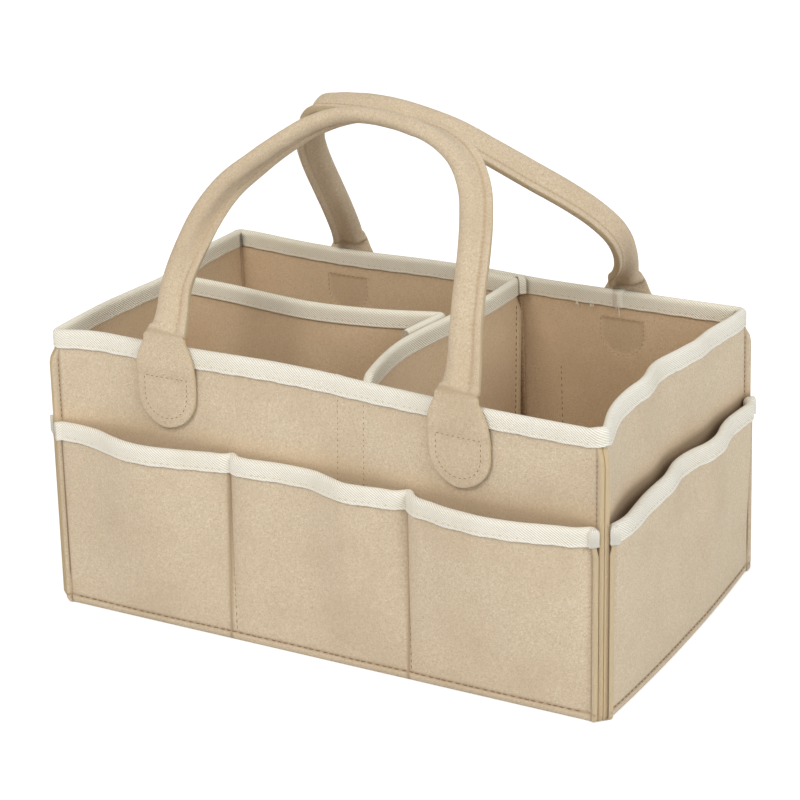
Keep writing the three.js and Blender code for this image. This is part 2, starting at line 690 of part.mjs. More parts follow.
// A loop strip on the inner face of a wall, between two places along it
function addWallLoop(name, side, from, to) {
  const rows = [0, ...stepsTo(0, 1, 4)].map((share) => STRIP_BOTTOM + (stripTop - STRIP_BOTTOM) * share);
  const gridAt = (offset) => rows.map((z) => [0, ...stepsTo(0, 1, 2)].map((share) => {
    return onLayer(side, from + (to - from) * share, offset, z);
  }));
  addPiece(name, sheetSolid(gridAt(-SEWN_GAP - strip), gridAt(-SEWN_GAP)), stripLook);
}

function addCrossDivider() {
  const frontCorner = frontFlap.at(-1);
  const backCorner = backFlap.at(-1);
  addPiece('cross_divider', seamedPanel((stand) => [
    ...seamEnd(frontCorner, toBack, toFlap, stand),
    ...crossMiddle,
    ...seamEnd(backCorner, toFront, toFlap, stand).reverse(),
  ]), shadedFeltLook);
  addPiece('cross_front_flap', seamedPanel((stand) => [
    ...frontFlap.slice(0, -1), ...seamEnd(frontCorner, toFlap, toBack, stand).reverse(),
  ]), shadedFeltLook);
  addPiece('cross_back_flap', seamedPanel((stand) => [
    ...backFlap.slice(0, -1), ...seamEnd(backCorner, toFlap, toFront, stand).reverse(),
  ]), shadedFeltLook);
  addPiece('cross_divider_binding', bindingAlong([
    ...frontFlap.slice(0, -1),
    ...roundedCorner(frontFlap.at(-2), frontCorner, crossMiddle[0], bendRadius),
    ...crossMiddle,
    ...roundedCorner(crossMiddle.at(-1), backCorner, backFlap.at(-2), bendRadius),
    ...backFlap.slice(0, -1).reverse(),
  ]), tapeLook);
  addPiece('cross_front_hook', stripAlong(frontFlap.slice(0, -1), -1), stripLook);
  addPiece('cross_back_hook', stripAlong(backFlap.slice(0, -1), 1), stripLook);
}

// The long divider's middle line, and the part of it that lies on the cross divider
function longPath() {
  const endFlap = [0, ...stepsTo(0, 1, 3)].map((share) => {
    return besideSide(leftSide, 0, LONG_LEFT_PLACE + LONG_END_FLAP * (1 - share), flapMiddle);
  });
  const foldPlace = LONG_MIDDLE + LONG_SWAY;
  const flap = [0, ...stepsTo(0, 1, 4)].map((share) => {
    const y = foldPlace - LONG_FLAP * share;
    return new THREE.Vector2(crossPoint(y / crossHalf, crossHalf).x - standOff - FELT, y);
  });
  const start = endFlap.at(-1);
  const middle = stepsTo(0, 1, 12).slice(0, -1).map((share) => {
    const x = start.x + (flap[0].x - start.x) * share;
    return new THREE.Vector2(x, LONG_MIDDLE + LONG_SWAY * longSway(share));
  });
  const path = [
    ...endFlap.slice(0, -1),
    ...roundedCorner(endFlap.at(-2), start, middle[0], bendRadius),
    ...middle,
    ...roundedCorner(middle.at(-1), flap[0], flap[1], bendRadius),
    ...flap.slice(1),
  ];
  return { path, endFlap, flap };
}

function addLongDivider() {
  const { path, endFlap, flap } = longPath();
  addPiece('long_divider', panelAlong(path, floorTop, wallTop), shadedFeltLook);
  addPiece('long_divider_binding', bindingAlong(path), tapeLook);
  addPiece('long_hook', stripAlong(flap.slice(1), 1), stripLook);
  addPiece('long_end_hook', stripAlong(endFlap.slice(0, -1), -1), stripLook);
  const loopPath = flap.slice(1).map((point) => point.clone().add(new THREE.Vector2(standOff + FELT, 0)));
  addPiece('cross_loop', stripAlong(loopPath, -1), stripLook);
}

addBottomPanel();
for (const [name, side] of Object.entries(sides)) {
  addWall(name, side);
  addPocket(name, side);
  addPocketBinding(name, side);
}
addRimBinding();
addHandle('front', frontSide, FRONT_TAB_PLACES, FRONT_NECK_SHIFT,
  frontHandleShares, FRONT_RISE, FRONT_HANDLE_LEAN);
addHandle('back', backSide, BACK_TAB_PLACES, BACK_NECK_SHIFT,
  backHandleShares, BACK_RISE, BACK_HANDLE_LEAN);
addCrossDivider();
addLongDivider();
const wallStripLeft = WALL_STRIP_PLACE - WALL_STRIP_WIDTH / 2;
const wallStripRight = WALL_STRIP_PLACE + WALL_STRIP_WIDTH / 2;
addWallLoop('front_loop', frontSide, wallStripLeft, wallStripRight);
addWallLoop('back_loop', backSide, -wallStripRight, -wallStripLeft);
addWallLoop('left_loop', leftSide, -LONG_LEFT_PLACE - LONG_END_FLAP, -LONG_LEFT_PLACE);

export default caddy;
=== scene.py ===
import bpy
import numpy as np
from mathutils import Matrix, Vector


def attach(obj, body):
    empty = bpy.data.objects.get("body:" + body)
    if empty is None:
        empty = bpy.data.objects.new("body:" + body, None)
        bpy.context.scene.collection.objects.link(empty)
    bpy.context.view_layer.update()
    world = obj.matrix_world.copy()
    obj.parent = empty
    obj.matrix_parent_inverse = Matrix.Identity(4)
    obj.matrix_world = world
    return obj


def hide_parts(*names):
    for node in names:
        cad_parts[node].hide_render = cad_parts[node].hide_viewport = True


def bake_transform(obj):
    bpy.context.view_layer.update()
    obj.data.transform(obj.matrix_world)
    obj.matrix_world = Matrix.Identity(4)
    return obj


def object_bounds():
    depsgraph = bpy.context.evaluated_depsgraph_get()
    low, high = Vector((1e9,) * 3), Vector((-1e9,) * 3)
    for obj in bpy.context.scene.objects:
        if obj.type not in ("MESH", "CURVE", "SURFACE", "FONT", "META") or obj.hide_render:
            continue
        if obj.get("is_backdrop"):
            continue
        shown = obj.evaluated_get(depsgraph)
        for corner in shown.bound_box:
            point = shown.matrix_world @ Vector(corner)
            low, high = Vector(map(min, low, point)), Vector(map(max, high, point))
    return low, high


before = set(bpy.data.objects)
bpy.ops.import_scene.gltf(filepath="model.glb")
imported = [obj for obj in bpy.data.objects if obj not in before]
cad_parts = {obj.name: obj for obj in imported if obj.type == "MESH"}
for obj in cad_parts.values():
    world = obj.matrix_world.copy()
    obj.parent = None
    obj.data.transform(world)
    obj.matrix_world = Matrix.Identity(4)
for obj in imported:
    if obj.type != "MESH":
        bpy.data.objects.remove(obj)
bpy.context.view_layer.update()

# The walls: four panels of thick pressed felt, cut from one roll. Their side edges stand out at the
# corners, where they are sewn face to face, and the raw edges are left to show. The box is soft, so
# its rim bows inwards between the corners and leans a little to the left.
LENGTH, DEPTH, RIM, POCKET_TOP = 380.0, 242.0, 184.5, 125.0
FELT, SEWN_GAP, TAPE, TAPE_WIDTH, TAPE_PROUD = 3.0, 0.3, 1.0, 11.5, 1.45
SEAM_RUN, SEAM_STUB, SEAM_FADE, FOLD_RUN, FOOT_CUT, FOOT_HEIGHT = 6.5, 1.3, 11.0, 2.4, 2.6, 4.0
BATTER, LEAN, END_BELLY, SAG, RIPPLE, SHEET_EASE = 4.0, 4.3, 3.5, 1.8, 0.32, 1.002
CORNER_X = LENGTH / 2 - SEAM_RUN * np.sqrt(0.5)
CORNER_Y = DEPTH / 2 - SEAM_RUN * np.sqrt(0.5)


def paint(red, green, blue):
    """A colour mixed as it looks on screen, from 0 to 255, as the shader wants it: light adds up, so
    each part is raised to a power of about 2.4."""
    parts = np.array([red, green, blue]) / 255
    linear = np.where(parts <= 0.04045, parts / 12.92, ((parts + 0.055) / 1.055) ** 2.4)
    return (*linear.tolist(), 1.0)


class Socket:
    """One socket of a material, so that shader sums are written as plain expressions."""

    def __init__(self, tree, socket):
        self.tree, self.socket = tree, socket

    def node(self, kind, settings, inputs, output=0):
        """Adds a node of a type with its settings, then the values or links of its sockets."""
        made = self.tree.nodes.new(kind)
        for key, value in settings.items():
            setattr(made, key, value)
        for key, value in inputs.items():
            if isinstance(value, Socket):
                self.tree.links.new(value.socket, made.inputs[key])
            else:
                made.inputs[key].default_value = value
        return Socket(self.tree, made.outputs[output])

    def math(self, operation, *values):
        inputs = {number: value for number, value in enumerate((self, *values))}
        return self.node("ShaderNodeMath", {"operation": operation}, inputs)

    def __add__(self, other):
        return self.math("ADD", other)

    def __mul__(self, other):
        return self.math("MULTIPLY", other)

    def __sub__(self, other):
        return self.math("SUBTRACT", other)

    def __rsub__(self, other):
        return (self * -1.0) + other

    __radd__, __rmul__ = __add__, __mul__

    def noise(self, scale, detail=2.0, roughness=0.5, distortion=0.0):
        inputs = {"Vector": self, "Scale": scale, "Detail": detail,
                  "Roughness": roughness, "Distortion": distortion}
        return self.node("ShaderNodeTexNoise", {}, inputs)

    def between(self, low, high):
        """0 below low, 1 above high and smooth in between."""
        settings = {"interpolation_type": "SMOOTHSTEP", "clamp": True}
        return self.node("ShaderNodeMapRange", settings, {0: self, 1: low, 2: high})

    def blend(self, first, second):
        """The first colour where this is 0 and the second where it is 1."""
        settings = {"data_type": "RGBA", "clamp_factor": True}
        return self.node("ShaderNodeMix", settings, {0: self, 6: first, 7: second}, output=2)


def cloth_material(name, roughness, sheen, look, strength, distance):
    """A new cloth material. Its look is a function that gets the place on the object, the place on the
    cloth, how raw it is, how much painted shade it takes and how far inside the box it is, which
    sets its painted bounce light, and gives a colour and a height."""
    made = bpy.data.materials.new(name)
    made.use_nodes = True
    shader = made.node_tree.nodes["Principled BSDF"]
    feel = {"Roughness": roughness, "Specular IOR Level": 0.2,
            "Sheen Weight": sheen, "Sheen Roughness": 0.6}
    for key, value in feel.items():
        shader.inputs[key].default_value = value
    tree = Socket(made.node_tree, None)
    places = [tree.node("ShaderNodeTexCoord", {}, {}, output=key) for key in ("Object", "UV")]
    shades = [tree.node("ShaderNodeAttribute", {"attribute_name": key}, {}, output="Fac")
              for key in ("raw", "painted_shade", "inner")]
    colour, height = look(*places, *shades)
    bump = tree.node("ShaderNodeBump", {}, {"Strength": strength, "Distance": distance, "Height": height})
    made.node_tree.links.new(colour.socket, shader.inputs["Base Color"])
    made.node_tree.links.new(bump.socket, shader.inputs["Normal"])
    return made


# Warmer felt tones for faces inside the box: painted bounce light.
PAINTED_BOUNCE_TONES = paint(207, 177, 136), paint(229, 200, 162), paint(243, 218, 184)
# The colour of raw cut edges, and the colour of painted shade in grooves, folds and shaded gaps.
RAW_EDGE, PAINTED_SHADE_FELT = paint(222, 197, 154), paint(158, 130, 98)


def felt_finish(name, *tones):
    """Pressed felt: matted fibres that mottle the colour at three sizes and roughen the surface, a
    yellower cut edge where the fibres stand open, a darker painted shade in the grooves where stitches
    press it flat, in folds and in shaded gaps, and warmer painted bounce light on faces inside the box."""
    def look(place, cloth, raw, painted_shade, inner):
        clouds = place.noise(22.0, 3.0, 0.55)
        tufts = place.noise(760.0, 4.0, 0.7, 0.8)
        fibres = place.noise(2100.0, 3.0, 0.75, 1.5)
        tone = tufts * 0.42 + fibres * 0.58
        # Faces inside the box take the warmer tones of painted bounce light.
        dark, body, light = map(inner.blend, tones, PAINTED_BOUNCE_TONES)
        colour = tone.between(0.36, 0.51).blend(dark, body)
        colour = tone.between(0.49, 0.64).blend(colour, light)
        colour = (clouds.between(0.4, 0.7) * 0.25).blend(colour, dark)
        threads = place.noise(760.0, 2.0, 0.6, 4.0).between(0.6, 0.68)
        colour = (threads * 0.4).blend(colour, light)
        edge_fibres = place.noise(1300.0, 3.0, 0.6).between(0.35, 0.65)
        edge = (edge_fibres * 0.5).blend(RAW_EDGE, body)
        colour = raw.between(0.35, 0.85).blend(colour, edge)
        # Painted shade: darkened towards the shade colour in grooves, folds and shaded gaps.
        colour = (painted_shade * (tufts * 0.6 + 0.5)).blend(colour, PAINTED_SHADE_FELT)
        return colour, tufts * 0.8 + fibres * 0.8 + raw * edge_fibres
    return cloth_material(name, 0.95, 0.12, look, 0.75, 0.0009)


def smooth(part):
    """0 up to 0, 1 from 1 on and smooth in between: three squares less two cubes."""
    part = np.clip(part, 0, 1)
    return part * part * (3 - 2 * part)


def unit(vectors):
    """Vectors divided by their lengths."""
    return vectors / np.linalg.norm(vectors, axis=-1, keepdims=True)


def reach_along(line):
    """How far along a line of points each point lies."""
    return np.concatenate([[0], np.cumsum(np.linalg.norm(np.diff(line, axis=0), axis=1))])


def at_stops(stops, reach, points):
    """The points of a line at given lengths along it."""
    return np.stack([np.interp(stops, reach, column) for column in points.T], axis=-1)


def eased(table):
    """A smooth curve through pairs of place and value: a cubic between each two of them, with the
    slope at each taken from its neighbours."""
    places, values = np.array(table, float).T
    slopes = np.gradient(values, places)

    def at(place):
        place = np.clip(place, places[0], places[-1])
        index = np.clip(np.searchsorted(places, place, side="right") - 1, 0, len(places) - 2)
        span = places[index + 1] - places[index]
        part = (place - places[index]) / span
        start = (1 + 2 * part) * (1 - part) ** 2 * values[index]
        start = start + part * (1 - part) ** 2 * span * slopes[index]
        end = part ** 2 * (3 - 2 * part) * values[index + 1]
        return start + end + part ** 2 * (part - 1) * span * slopes[index + 1]

    return at


def depth_at(z):
    """Half the box's depth: the long walls come in evenly towards the rim, by the batter."""
    return CORNER_Y - BATTER * np.clip(z / RIM, 0, 1)


def lean_at(z):
    """How far the box stands over to the right: nothing at the pockets' top, and less above it."""
    return LEAN * (POCKET_TOP / RIM - np.clip(z / RIM, 0, 1))


class Side:
    """One side of the box. Its level lines run along it from corner to corner; each bows inwards by a
    share of its greatest bow, which grows with a power of the height."""

    def __init__(self, along, out, bow, power, shares, phase, sag):
        self.along, self.out = np.array([*along, 0.0]), np.array([*out, 0.0])
        self.bow, self.power, self.shape, self.phase = bow, power, eased(shares), phase
        self.sag, self.is_end = eased(sag), along[0] == 0

    def run(self, z):
        """Half the side's own length."""
        return depth_at(z) if self.is_end else CORNER_X + 0 * z

    def reach(self, z):
        """How far out the wall's inner face stands."""
        return CORNER_X + 0 * z if self.is_end else depth_at(z)

    def fold(self, offset, z):
        """How far a layer runs before it folds out into the corner's seam."""
        return self.run(z) + offset - np.sqrt(2) * (SEWN_GAP / 2 + offset)

    def place(self, run, out, z):
        """The point at a length along the side, a length out and a height, with the box's lean."""
        run, out, z = np.broadcast_arrays(run, out, z)
        x = self.along[0] * run + self.out[0] * out + lean_at(z)
        y = self.along[1] * run + self.out[1] * out
        return np.stack([x, y, z], axis=-1)

    def face(self, share, offset, z, swell=0.0):
        """A point of a layer: a share of the way along, an offset out from the wall's inner face. It
        follows the bow, a bellied base on the ends, and a faint slow ripple of the soft felt. The
        top of the layer sags a little near one corner."""
        height = np.clip(z / RIM, 0, 1)
        bow = self.bow * self.shape(share) * height ** self.power
        belly = (END_BELLY if self.is_end else 0.0) * (1 - share ** 2) * (1 - height)
        wave = np.sin(share * 7.1 + self.phase) * np.sin(z / 31 + self.phase)
        wave = wave + 0.6 * np.sin(share * 15.7 - z / 47 + 2 * self.phase)
        ripple = RIPPLE * wave * (1 - share ** 8) * np.sin(np.pi * np.clip(z / RIM, 0.02, 0.95))
        out = self.reach(z) + offset - bow + belly + ripple + swell
        return self.place(share * self.fold(offset, z), out, z - self.sag(share) * height ** 4)

    def at_run(self, run, offset, z):
        """A point of a layer at a length along the side."""
        return self.face(run / self.fold(offset, z), offset, z)

    def seam(self, end, offset, z, stand):
        """A point where a layer stands out along the corner's diagonal."""
        aside = SEWN_GAP / 2 + offset
        run = end * (self.run(z) + (stand - aside) * np.sqrt(0.5))
        lower = z - self.sag(end) * np.clip(z / RIM, 0, 1) ** 4
        return self.place(run, self.reach(z) + (stand + aside) * np.sqrt(0.5), lower)

    def layer(self, offset, z, stand, swell=lambda share, z: 0.0, steps=90, stops=(), pinched=None):
        """Level lines of a layer from seam tip to seam tip: flat, round a small bend into each corner
        and out along the seam, where the offset may differ. One row of points for each station, one
        column for each height."""
        pinched = offset if pinched is None else pinched
        offset, pinched, z, stand = np.broadcast_arrays(np.atleast_1d(offset), pinched, z, stand)
        inner = 1 - FOLD_RUN / CORNER_Y
        middle = np.unique(np.concatenate([np.linspace(-inner, inner, steps), stops]))[:, None]
        parts = [self.face(middle, offset, z, swell(middle, z))]
        for end in (-1.0, 1.0):
            before = self.face(end * inner, offset, z, swell(end * inner, z))
            corner = self.face(end, pinched, z, 0.0)
            tip = self.seam(end, pinched, z, stand)
            bend = corner + (tip - corner) * 0.25
            turn = np.linspace(0, 1, 7)[1:, None, None]
            curve = (1 - turn) ** 2 * before + 2 * turn * (1 - turn) * corner + turn ** 2 * bend
            rest = bend + (tip - bend) * np.array([0.4, 0.75, 0.93, 1.0])[:, None, None]
            arm = np.concatenate([curve, rest])
            parts = [arm[::-1], *parts] if end < 0 else [*parts, arm]
        return np.concatenate(parts)


def tip_shades(lines, halves):
    """For a layer with a seam tip at both ends: its half thickness, drawn in to round both cut edges,
    how raw it looks and how much painted shade darkens it along the two folds."""
    rounding, raw, painted_shade = np.ones(len(lines)), np.zeros(len(lines)), np.zeros(len(lines))
    rounding[[0, 1, -2, -1]] = [0.7, 0.97, 0.97, 0.7]
    raw[[0, 1, 2, -3, -2, -1]] = [1, 0.8, 0.1, 0.1, 0.8, 1]
    painted_shade[[3, 4, 5, 6, 7, -8, -7, -6, -5, -4]] = [0.2, 0.6, 0.9, 0.6, 0.25, 0.25, 0.6, 0.9, 0.6, 0.2]
    return halves[None] * rounding[:, None], raw[:, None], painted_shade[:, None]


front_bow = [(-1, 0), (-0.96, 0.2), (-0.918, 0.45), (-0.85, 0.64), (-0.787, 0.64), (-0.7, 0.6),
             (-0.55, 0.65), (-0.35, 0.69), (-0.2, 0.73), (-0.1, 0.69), (0, 0.63), (0.12, 0.46),
             (0.26, 0.3), (0.36, 0.2), (0.5, 0.04), (0.66, -0.06), (0.8, -0.05), (0.96, 0), (1, 0)]
right_bow = [(-1, 0), (-0.96, 0.05), (-0.9, 0.2), (-0.765, 0.57), (-0.635, 0.8), (-0.5, 0.87),
             (-0.4, 0.86), (-0.27, 0.77), (-0.17, 0.86), (-0.09, 1), (0.03, 0.99), (0.115, 0.84),
             (0.2, 0.67), (0.29, 0.53), (0.38, 0.39), (0.47, 0.36), (0.56, 0.36), (0.7, 0.24),
             (0.79, 0.12), (0.9, 0.02), (1, 0)]
back_bow = [(-1, 0), (-0.96, 0.02), (-0.75, 0.4), (-0.5, 0.85), (-0.25, 0.75), (-0.05, 0.2),
            (0.15, 0.3), (0.45, 1), (0.75, 0.7), (0.96, 0.03), (1, 0)]
left_bow = [(-1, 0), (-0.96, 0), (-0.65, -0.2), (-0.33, 0.35), (-0.05, 1), (0.25, 0.5),
            (0.5, 0.1), (0.75, 0), (1, 0)]
front_sag = [(-1, 0), (0.2, 0), (0.65, SAG * 0.7), (1, SAG)]
right_sag = [(-1, SAG), (-0.5, SAG * 0.4), (0, 0), (1, 0)]
no_sag = [(-1, 0), (1, 0)]
sides = {
    "front": Side((1, 0), (0, -1), 11.7, 2.3, front_bow, 0.4, front_sag),
    "right": Side((0, 1), (1, 0), 12.3, 1.15, right_bow, 1.9, right_sag),
    "back": Side((-1, 0), (0, 1), 5.5, 2.3, back_bow, 3.1, no_sag),
    "left": Side((0, -1), (-1, 0), 6.0, 2.3, left_bow, 4.6, no_sag),
}


def level_normals(lines, closed=False):
    """Level directions square to lines of points: each tangent turned by a quarter about the
    vertical. The lines run along the first axis."""
    around = np.roll(lines, -1, axis=0) - np.roll(lines, 1, axis=0)
    tangent = around if closed else np.gradient(lines, axis=0)
    level = np.hypot(tangent[..., 0], tangent[..., 1]) + 1e-9
    return np.stack([tangent[..., 1] / level, -tangent[..., 0] / level, 0 * level], axis=-1)


def in_scene(name, data):
    """A new object in the scene."""
    made = bpy.data.objects.new(name, data)
    bpy.context.scene.collection.objects.link(made)
    return made


def finish_piece(name, mesh, material, body, replaced=()):
    """Puts a mesh into the scene under its name, with its material, on its body, and hides the parts
    that it replaces."""
    made = in_scene(name, mesh)
    mesh.materials.append(material)
    if body:
        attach(made, body)
    if replaced:
        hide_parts(*replaced)
    return made


def skin_faces(count, size, closed=False):
    """Quads of a skin through rings of points, and those of its two caps: unless the row of rings is
    closed, each end ring is zipped shut between its first and second half."""
    index = np.arange(count * size).reshape(count, size)
    here, after = (index, np.roll(index, -1, axis=0)) if closed else (index[:-1], index[1:])
    quads = np.stack([here, np.roll(here, -1, 1), np.roll(after, -1, 1), after], axis=-1)
    first = np.arange(0 if closed else size // 2 - 1)
    pairs = np.stack([first + 1, first, size - 1 - first, size - 2 - first], axis=-1)
    return quads.reshape(-1, 4), np.concatenate([index[0][pairs], index[-1][pairs[:, ::-1]]])


def loft(name, rings, material, body, replaced=(), closed=False, raw=0.0, painted_shade=0.0, inner=0.0):
    """A closed skin through rings of points in millimetres. The cloth's own map is the length along
    the rings and the length round them, in metres."""
    count, size = rings.shape[:2]
    quads, caps = skin_faces(count, size, closed)
    steps = np.linalg.norm(np.diff(np.concatenate([rings, rings[:closed]]), axis=0), axis=-1)
    sizes = np.linalg.norm(np.roll(rings, -1, axis=1) - rings, axis=-1)
    along = np.concatenate([[0], np.cumsum(steps.mean(axis=1))])
    around = np.concatenate([[0], np.cumsum(sizes.mean(axis=0))])
    u = np.stack([along[:-1], along[:-1], along[1:], along[1:]], axis=-1)[:, None]
    v = np.stack([around[:-1], around[1:], around[1:], around[:-1]], axis=-1)[None]
    maps = np.stack(np.broadcast_arrays(u, v), axis=-1).reshape(-1, 4, 2)
    cap_maps = around[caps % size][..., None] * [0.3, 1.0]
    quads, maps = np.concatenate([quads, caps]), np.concatenate([maps, cap_maps])
    points = rings.reshape(-1, 3) / 1000
    a, b, c, d = points[quads].transpose(1, 0, 2)
    if np.einsum("ij,ij->", a, np.cross(b, c) + np.cross(c, d)) < 0:
        quads, maps = quads[:, ::-1], maps[:, ::-1]
    mesh = bpy.data.meshes.new(name)
    mesh.from_pydata(points.tolist(), [], quads.tolist())
    mesh.uv_layers.new(name="cloth").data.foreach_set("uv", (maps / 1000).astype(np.float32).ravel())
    mesh.polygons.foreach_set("use_smooth", np.arange(len(quads)) < len(quads) - len(caps))
    for key, shade in (("raw", raw), ("painted_shade", painted_shade), ("inner", inner)):
        values = np.broadcast_to(shade, (count, size)).astype(np.float32)
        mesh.attributes.new(key, "FLOAT", "POINT").data.foreach_set("value", values.ravel())
    made = finish_piece(name, mesh, material, body, replaced)
    return made


def stitch_rows(name, rows, material, body, pitch=4.6, length=3.4, radius=0.32, sink=0.1):
    """Machine stitches along rows of points with their outward directions: each is a short round bar
    whose height is an arch over its length, so that both ends dive into the cloth."""
    parts = []
    for points, outward in rows:
        reach = reach_along(points)
        stops = np.arange(pitch / 2, reach[-1], pitch)
        stops = stops + 0.12 * pitch * np.sin(stops * 1.7)
        before, centre, after = (at_stops(stops + shift, reach, points) for shift in (-0.4, 0, 0.4))
        normal = at_stops(stops, reach, np.broadcast_to(outward, points.shape))
        parts.append(np.stack([centre, unit(after - before), unit(normal)]))
    centre, tangent, normal = np.concatenate(parts, axis=1)[:, :, None, None]
    across = np.linspace(-1, 1, 5)[:, None, None]
    turn = (np.arange(6) / 6 * 2 * np.pi)[:, None]
    swell = radius * np.array([0.5, 0.95, 1, 0.95, 0.5])[:, None, None]
    lift = radius * 1.6 * (1 - across ** 2) - radius * 0.9 - sink
    points = (centre + tangent * (across * length / 2) + normal * (lift + swell * np.sin(turn))
              + np.cross(tangent, normal) * (swell * np.cos(turn)))
    bar = np.concatenate(skin_faces(5, 6))[:, ::-1]
    quads = (bar + 30 * np.arange(len(points))[:, None, None]).reshape(-1, 4)
    mesh = bpy.data.meshes.new(name)
    mesh.from_pydata((points.reshape(-1, 3) / 1000).tolist(), [], quads.tolist())
    mesh.polygons.foreach_set("use_smooth", np.ones(len(quads), bool))
    return finish_piece(name, mesh, material, body)


def thread_finish(name, dark, light):
    """Twisted sewing thread: its plies darken it in fine steps along the cloth's place."""
    def look(place, cloth, raw, painted_shade, inner):
        plies = place.noise(2600.0, 2.0, 0.6)
        return plies.between(0.35, 0.65).blend(dark, light), plies
    return cloth_material(name, 0.8, 0.1, look, 0.4, 0.0002)


def foot(z):
    """How far a seam's tip is cut back where it is round at the bottom."""
    return FOOT_CUT * np.clip(1 - z / FOOT_HEIGHT, 0, 1) ** 2


def seam_stand(z):
    """How far the corner seams stand out: full height up to the rim tape, where they are tucked in."""
    fade = np.clip((RIM - TAPE_WIDTH - SEWN_GAP - z) / SEAM_FADE, 0, 1)
    return SEAM_STUB + (SEAM_RUN - SEAM_STUB) * fade * (2 - fade) - foot(z)


def sheet_section(bottom, top, thick, rows, more=()):
    """Heights and half thicknesses of a felt layer's section: up its outer face and down its inner
    one, drawn in to rounded cut edges at the bottom and top."""
    edge = np.array([0.0, 0.35, 0.9])
    heights = np.concatenate([bottom + edge, np.linspace(bottom, top, rows)[1:-1], top - edge, more])
    heights = np.unique(heights.round(3))
    near = np.minimum(heights - bottom, top - heights)
    half = thick / 2 * np.interp(near, edge, [0.62, 0.9, 1.0])
    return np.concatenate([heights, heights[::-1]]), np.concatenate([half, -half[::-1]])


felt = felt_finish("pressed_felt", paint(192, 167, 134), paint(217, 197, 168), paint(240, 225, 201))
dark_thread = thread_finish("brown_thread", paint(112, 84, 56), paint(156, 126, 92))
WALL_TOP, TAB_DENT = RIM - TAPE - SEWN_GAP, 0.7
TAB_PLACES = {"front": (-106.5, 97.5), "back": (-99.7, 103.8)}
U_HALF, U_TOP, U_ROUND = 15.0, 165.0, 154.0


def tab_print(key, run, z):
    """How deep the sewn tabs dent the wall's inner face: 1 inside each U of stitches, 0 outside."""
    dent = 0 * run + 0 * z
    for place in TAB_PLACES.get(key, ()):
        x = sides[key].along[0] * run - place
        inside = U_HALF - np.hypot(x, np.clip(U_ROUND - z, 0, None))
        dent = dent + np.clip(np.minimum(inside, U_TOP - z) / 2.2 + 0.3, 0, 1)
    return dent


for key, side in sides.items():
    tabbed = key in TAB_PLACES
    heights, halves = sheet_section(0.0, WALL_TOP, FELT, 44, np.linspace(136, 168, 22) if tabbed else ())
    lines = side.layer(FELT / 2, heights, seam_stand(heights), steps=230 if tabbed else 110)
    half, raw, painted_shade = tip_shades(lines, halves)
    dent = tab_print(key, lines @ side.along, heights[None]) * (halves < 0)
    rings = lines + level_normals(lines) * (half + dent * TAB_DENT)[..., None]
    # Painted shade: the outer face is darkened below each pocket's mouth, where the gap behind the pocket
    # lies in shade, and the tab dents and folds take painted shade too. Near the mouths the outer face, and
    # the whole inner face, take the warm painted bounce light.
    painted_gap_shade = (halves > 0) * np.clip((POCKET_TOP + 4 - heights) / 6, 0, 1) * (0.35 if tabbed else 1.2)
    shaded = np.clip((POCKET_TOP + 16 - heights) / 16, 0, 1) * 0.7
    loft(key + "_wall_felt", rings, felt, "caddy", [key + "_wall"], raw=raw,
         painted_shade=np.maximum(np.maximum(painted_shade, dent * 0.22), painted_gap_shade),
         inner=np.where(halves < 0, 1.0, shaded))

# The seam allowances: in each corner the two walls' edges are pressed together, so that felt closes
# the seam from the inside.
for key, side in sides.items():
    z = np.linspace(2.0, WALL_TOP - 1.0, 70)
    stand = (seam_stand(z)[:, None] + 0.1) * np.array([0.0, 0.15, 0.5, 1.0]) - 0.9
    middle = side.seam(1.0, -SEWN_GAP / 2, z[:, None], stand)
    across = (side.out - side.along) * np.sqrt(0.5)
    thick = across * (SEWN_GAP / 2 + np.array([0.15, 0.75, 0.5, 0.3]))[None, :, None]
    rings = np.concatenate([middle + thick, (middle - thick)[:, ::-1]], axis=1)
    # The seam's felt takes a little painted shade all over, and the painted bounce light of the box's
    # inside.
    loft(key + "_corner_felt", rings, felt, "caddy", painted_shade=0.3, inner=1.0)

# The bottom: one flat felt panel that reaches under the walls' lower edges all round, where it is
# sewn in. It is a skin of spokes from the middle, with a small bevel at the edge.
FLOOR_TUCK, FLOOR_BEVEL, MEAN_REACH = 0.9, 0.5, 120.0
places = np.linspace(-0.99, 0.99, 60)
outline = np.concatenate([side.face(places, FLOOR_TUCK, FELT) for side in sides.values()])
shrink = 1 - np.array([FLOOR_BEVEL, 0.0, 0.0, FLOOR_BEVEL]) / MEAN_REACH
spokes = np.array([0.02, 0.35, 0.7])
shares = np.concatenate([spokes, shrink, spokes[::-1]])
levels = np.array([0.0, 0.0, 0.0, 0.0, FLOOR_BEVEL, FELT - FLOOR_BEVEL, FELT, FELT, FELT, FELT])
rings = outline[:, None] * [1, 1, 0] * shares[:, None] + levels[:, None] * [0, 0, 1]
bottom = loft("bottom_felt", rings, felt, "caddy", ["bottom_panel"], closed=True)

